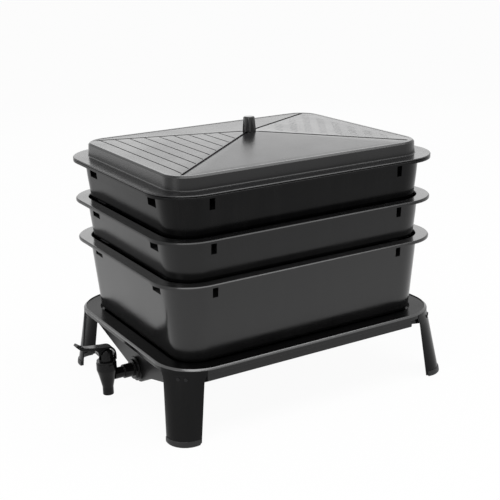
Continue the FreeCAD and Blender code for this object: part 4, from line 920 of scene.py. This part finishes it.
def makePlastic(name, look):
    # moulded plastic: the colour goes from the dark one to the paler by mottle * share + streaks,
    # the roughness by the mottle alone, and the grain is a small bump
    material, tree, shader = newMaterial(name)
    place = newNode(tree, "TexCoord", "Object")
    grain = groupNode(tree, grainGroup, Vector=place, Fineness=look["fineness"])
    streak = groupNode(tree, streakGroup, Vector=place)
    slow = mathNode(tree, "MULTIPLY", grain["Mottle"], mottle["share"])
    amount = mathNode(tree, "MULTIPLY", streak["Mask"], look["streaks"])
    shade = mathNode(tree, "ADD", slow, amount, clamp=True)
    colour = tree.nodes.new("ShaderNodeMix")
    colour.data_type = "RGBA"
    for socket, value in ((0, shade), (6, (*look["colour"], 1)), (7, (*look["paler"], 1))):
        feed(tree, value, colour.inputs[socket])
    bump = newNode(tree, "Bump", "Normal", Strength=1.0, Distance=look["grain"], Height=grain["Height"])
    feed(tree, colour.outputs[2], shader["Base Color"])
    feed(tree, rangeNode(tree, grain["Mottle"], mottle["span"], look["rough"]), shader["Roughness"])
    feed(tree, look["specular"], shader["Specular IOR Level"])
    feed(tree, bump, shader["Normal"])
    return material


def makeZinc():
    # zinc plate: metal whose colour and roughness follow a crystalline cloud
    material, tree, shader = newMaterial("zincSteel")
    feed(tree, 1.0, shader["Metallic"])
    cloud = noiseNode(tree, newNode(tree, "TexCoord", "Object"), zinc["cloud"], 3.0, 0.6)
    ramp = tree.nodes.new("ShaderNodeValToRGB")
    for element, (position, colour) in zip(ramp.color_ramp.elements, (zinc["dark"], zinc["pale"])):
        element.position, element.color = position, (*colour, 1)
    feed(tree, cloud, ramp.inputs["Fac"])
    feed(tree, ramp.outputs["Color"], shader["Base Color"])
    feed(tree, rangeNode(tree, cloud, (0.0, 1.0), zinc["rough"]), shader["Roughness"])
    return material


materials = {name: makePlastic(name + "Plastic", dict(zip(lookKeys, look + commonGrain)))
             for name, look in plastics.items()}
materials["zinc"] = makeZinc()
slotLook = {"bin_plastic": "base", "leg_plastic": "leg", "foot_plastic": "foot", "knob_plastic": "knob",
            "tap_plastic": "tap", "seal_rubber": "rubber", "zinc_steel": "zinc", "black_steel": "screw"}
# the moulded bins share a slot, and each wears a lit or shaded copy of one black, painted light and shade:
# its look, then the CAD node and the pieces that wear it
litAndShadedBins = {"sump": ("collector_base", "collector_base_sump", "collector_base_tap_well"),
         "lid": ("lid", "lid_shell", "lid_dashes"), "topTray": ("top_tray", "top_tray_shell"),
         "middleTray": ("middle_tray", "middle_tray_shell"), "lowerTray": ("lower_tray", "lower_tray_shell")}


def paint(piece, look):
    piece.data.materials.clear()
    piece.data.materials.append(materials[look])


nodeSlot = {part["node"]: part["material_slot"] for part in frame["record"]["subparts"]}
for node, piece in frame["nodes"].items():
    paint(piece, slotLook[nodeSlot[node]])
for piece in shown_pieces():
    if "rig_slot" in piece:
        paint(piece, slotLook[piece["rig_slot"]])
# the rim's second and third looks: a painted highlight on the bead and painted shade on the deck
for look in ("bead", "deck"):
    baseRim.data.materials.append(materials[look])
baseRim.data.polygons.foreach_set("material_index", rimLooks.astype(np.int32))
for look, (node, *shells) in litAndShadedBins.items():
    paint(frame["nodes"][node], look)
    for name in shells:
        paint(bpy.data.objects[name], look)
print("materials made")


# floor, light and camera

cameraSettings = {
    "place": (-0.9740, -1.7122, 0.8803),  # metres, in the row frame
    "azimuth": -30.53, "elevation": 17.52, "roll": -1.44,
    "lens": 74.58, "sensor": 36.0, "clip": (0.05, 50),
}
# place, aim, size and power
lamps = {
    "leftSoftbox": ((-2.2, -0.7, 1.0), (0, 0, 0.25), (0.9, 1.6), 8.0),
    "lowSoftbox": ((-1.7, 1.7, 0.55), (-0.2, 0, 0.25), (1.4, 0.9), 5.0),
    "backSoftbox": ((1.4, 2.6, 1.4), (0, 0, 0.45), (2.6, 1.2), 10.0),
    "keySoftbox": ((0.15, -0.65, 2.2), (0.1, -0.2, 0.2), (3.0, 1.1), 36.0),
}
white = (1, 1, 1, 1)
studio = {"world": 0.5, "floor": (0.90, 0.90, 0.90, 1), "floorRough": 0.9, "floorHalf": 40.0,
          "floorWhite": 0.95}


def shownRays(tree):
    # 1 for the rays that show the studio: camera, glossy and transmission rays
    rays = tree.nodes.new("ShaderNodeLightPath").outputs
    shown = mathNode(tree, "MAXIMUM", rays["Is Camera Ray"], rays["Is Glossy Ray"])
    return mathNode(tree, "MAXIMUM", shown, rays["Is Transmission Ray"])


def mixShaders(tree, share, first, second, surface):
    # first * (1 - share) + second * share, to the surface of the output node
    mixed = tree.nodes.new("ShaderNodeMixShader")
    for socket, value in zip(mixed.inputs, (share, first, second)):
        feed(tree, value, socket)
    feed(tree, mixed.outputs["Shader"], surface)


def makeFloor():
    # a pale matt floor that glows nearly white for the rays that show it
    half = studio["floorHalf"]
    mesh = bpy.data.meshes.new("studio_floor")
    plan = [(-half, -half, 0), (half, -half, 0), (half, half, 0), (-half, half, 0)]
    mesh.from_pydata(plan, [], [(0, 1, 2, 3)])
    floor = addObject("studio_floor", mesh)
    material, tree, shader = newMaterial("paleFloor")
    feed(tree, studio["floor"], shader["Base Color"])
    feed(tree, studio["floorRough"], shader["Roughness"])
    feed(tree, 0.0, shader["Specular IOR Level"])
    share = mathNode(tree, "MULTIPLY", shownRays(tree), studio["floorWhite"])
    matt, glow = tree.nodes["Principled BSDF"].outputs["BSDF"], newNode(tree, "Emission", Color=white)
    mixShaders(tree, share, matt, glow, tree.nodes["Material Output"].inputs["Surface"])
    floor.data.materials.append(material)


def makeWorld():
    # soft light all round, and white for the rays that show it
    world = bpy.data.worlds.new("studio")
    bpy.context.scene.world = world
    world.use_nodes = True
    tree = world.node_tree
    tree.nodes.clear()
    soft = newNode(tree, "Background", Color=white, Strength=studio["world"])
    shown = newNode(tree, "Background", Color=white, Strength=1.0)
    output = tree.nodes.new("ShaderNodeOutputWorld")
    mixShaders(tree, shownRays(tree), soft, shown, output.inputs["Surface"])


def makeLamps():
    for name, (place, aim, size, power) in lamps.items():
        data = bpy.data.lights.new(name, "AREA")
        data.shape, data.energy = "RECTANGLE", power
        data.size, data.size_y = size
        light = addObject(name, data)
        light.location = place
        light.rotation_euler = (Vector(aim) - Vector(place)).to_track_quat("-Z", "Y").to_euler()


def makeCamera(settings=cameraSettings):
    data = bpy.data.cameras.new("camera")
    data.lens, data.sensor_width = settings["lens"], settings["sensor"]
    data.clip_start, data.clip_end = settings["clip"]
    camera = addObject("camera", data)
    turn = (Matrix.Rotation(math.radians(settings["azimuth"]), 4, "Z")
            @ Matrix.Rotation(math.radians(90 - settings["elevation"]), 4, "X")
            @ Matrix.Rotation(math.radians(settings["roll"]), 4, "Z"))
    camera.matrix_world = Matrix.Translation(settings["place"]) @ turn
    bpy.context.scene.camera = camera


makeFloor()
makeWorld()
makeLamps()
makeCamera()
bpy.context.scene.view_settings.view_transform = "Standard"
print("studio made")
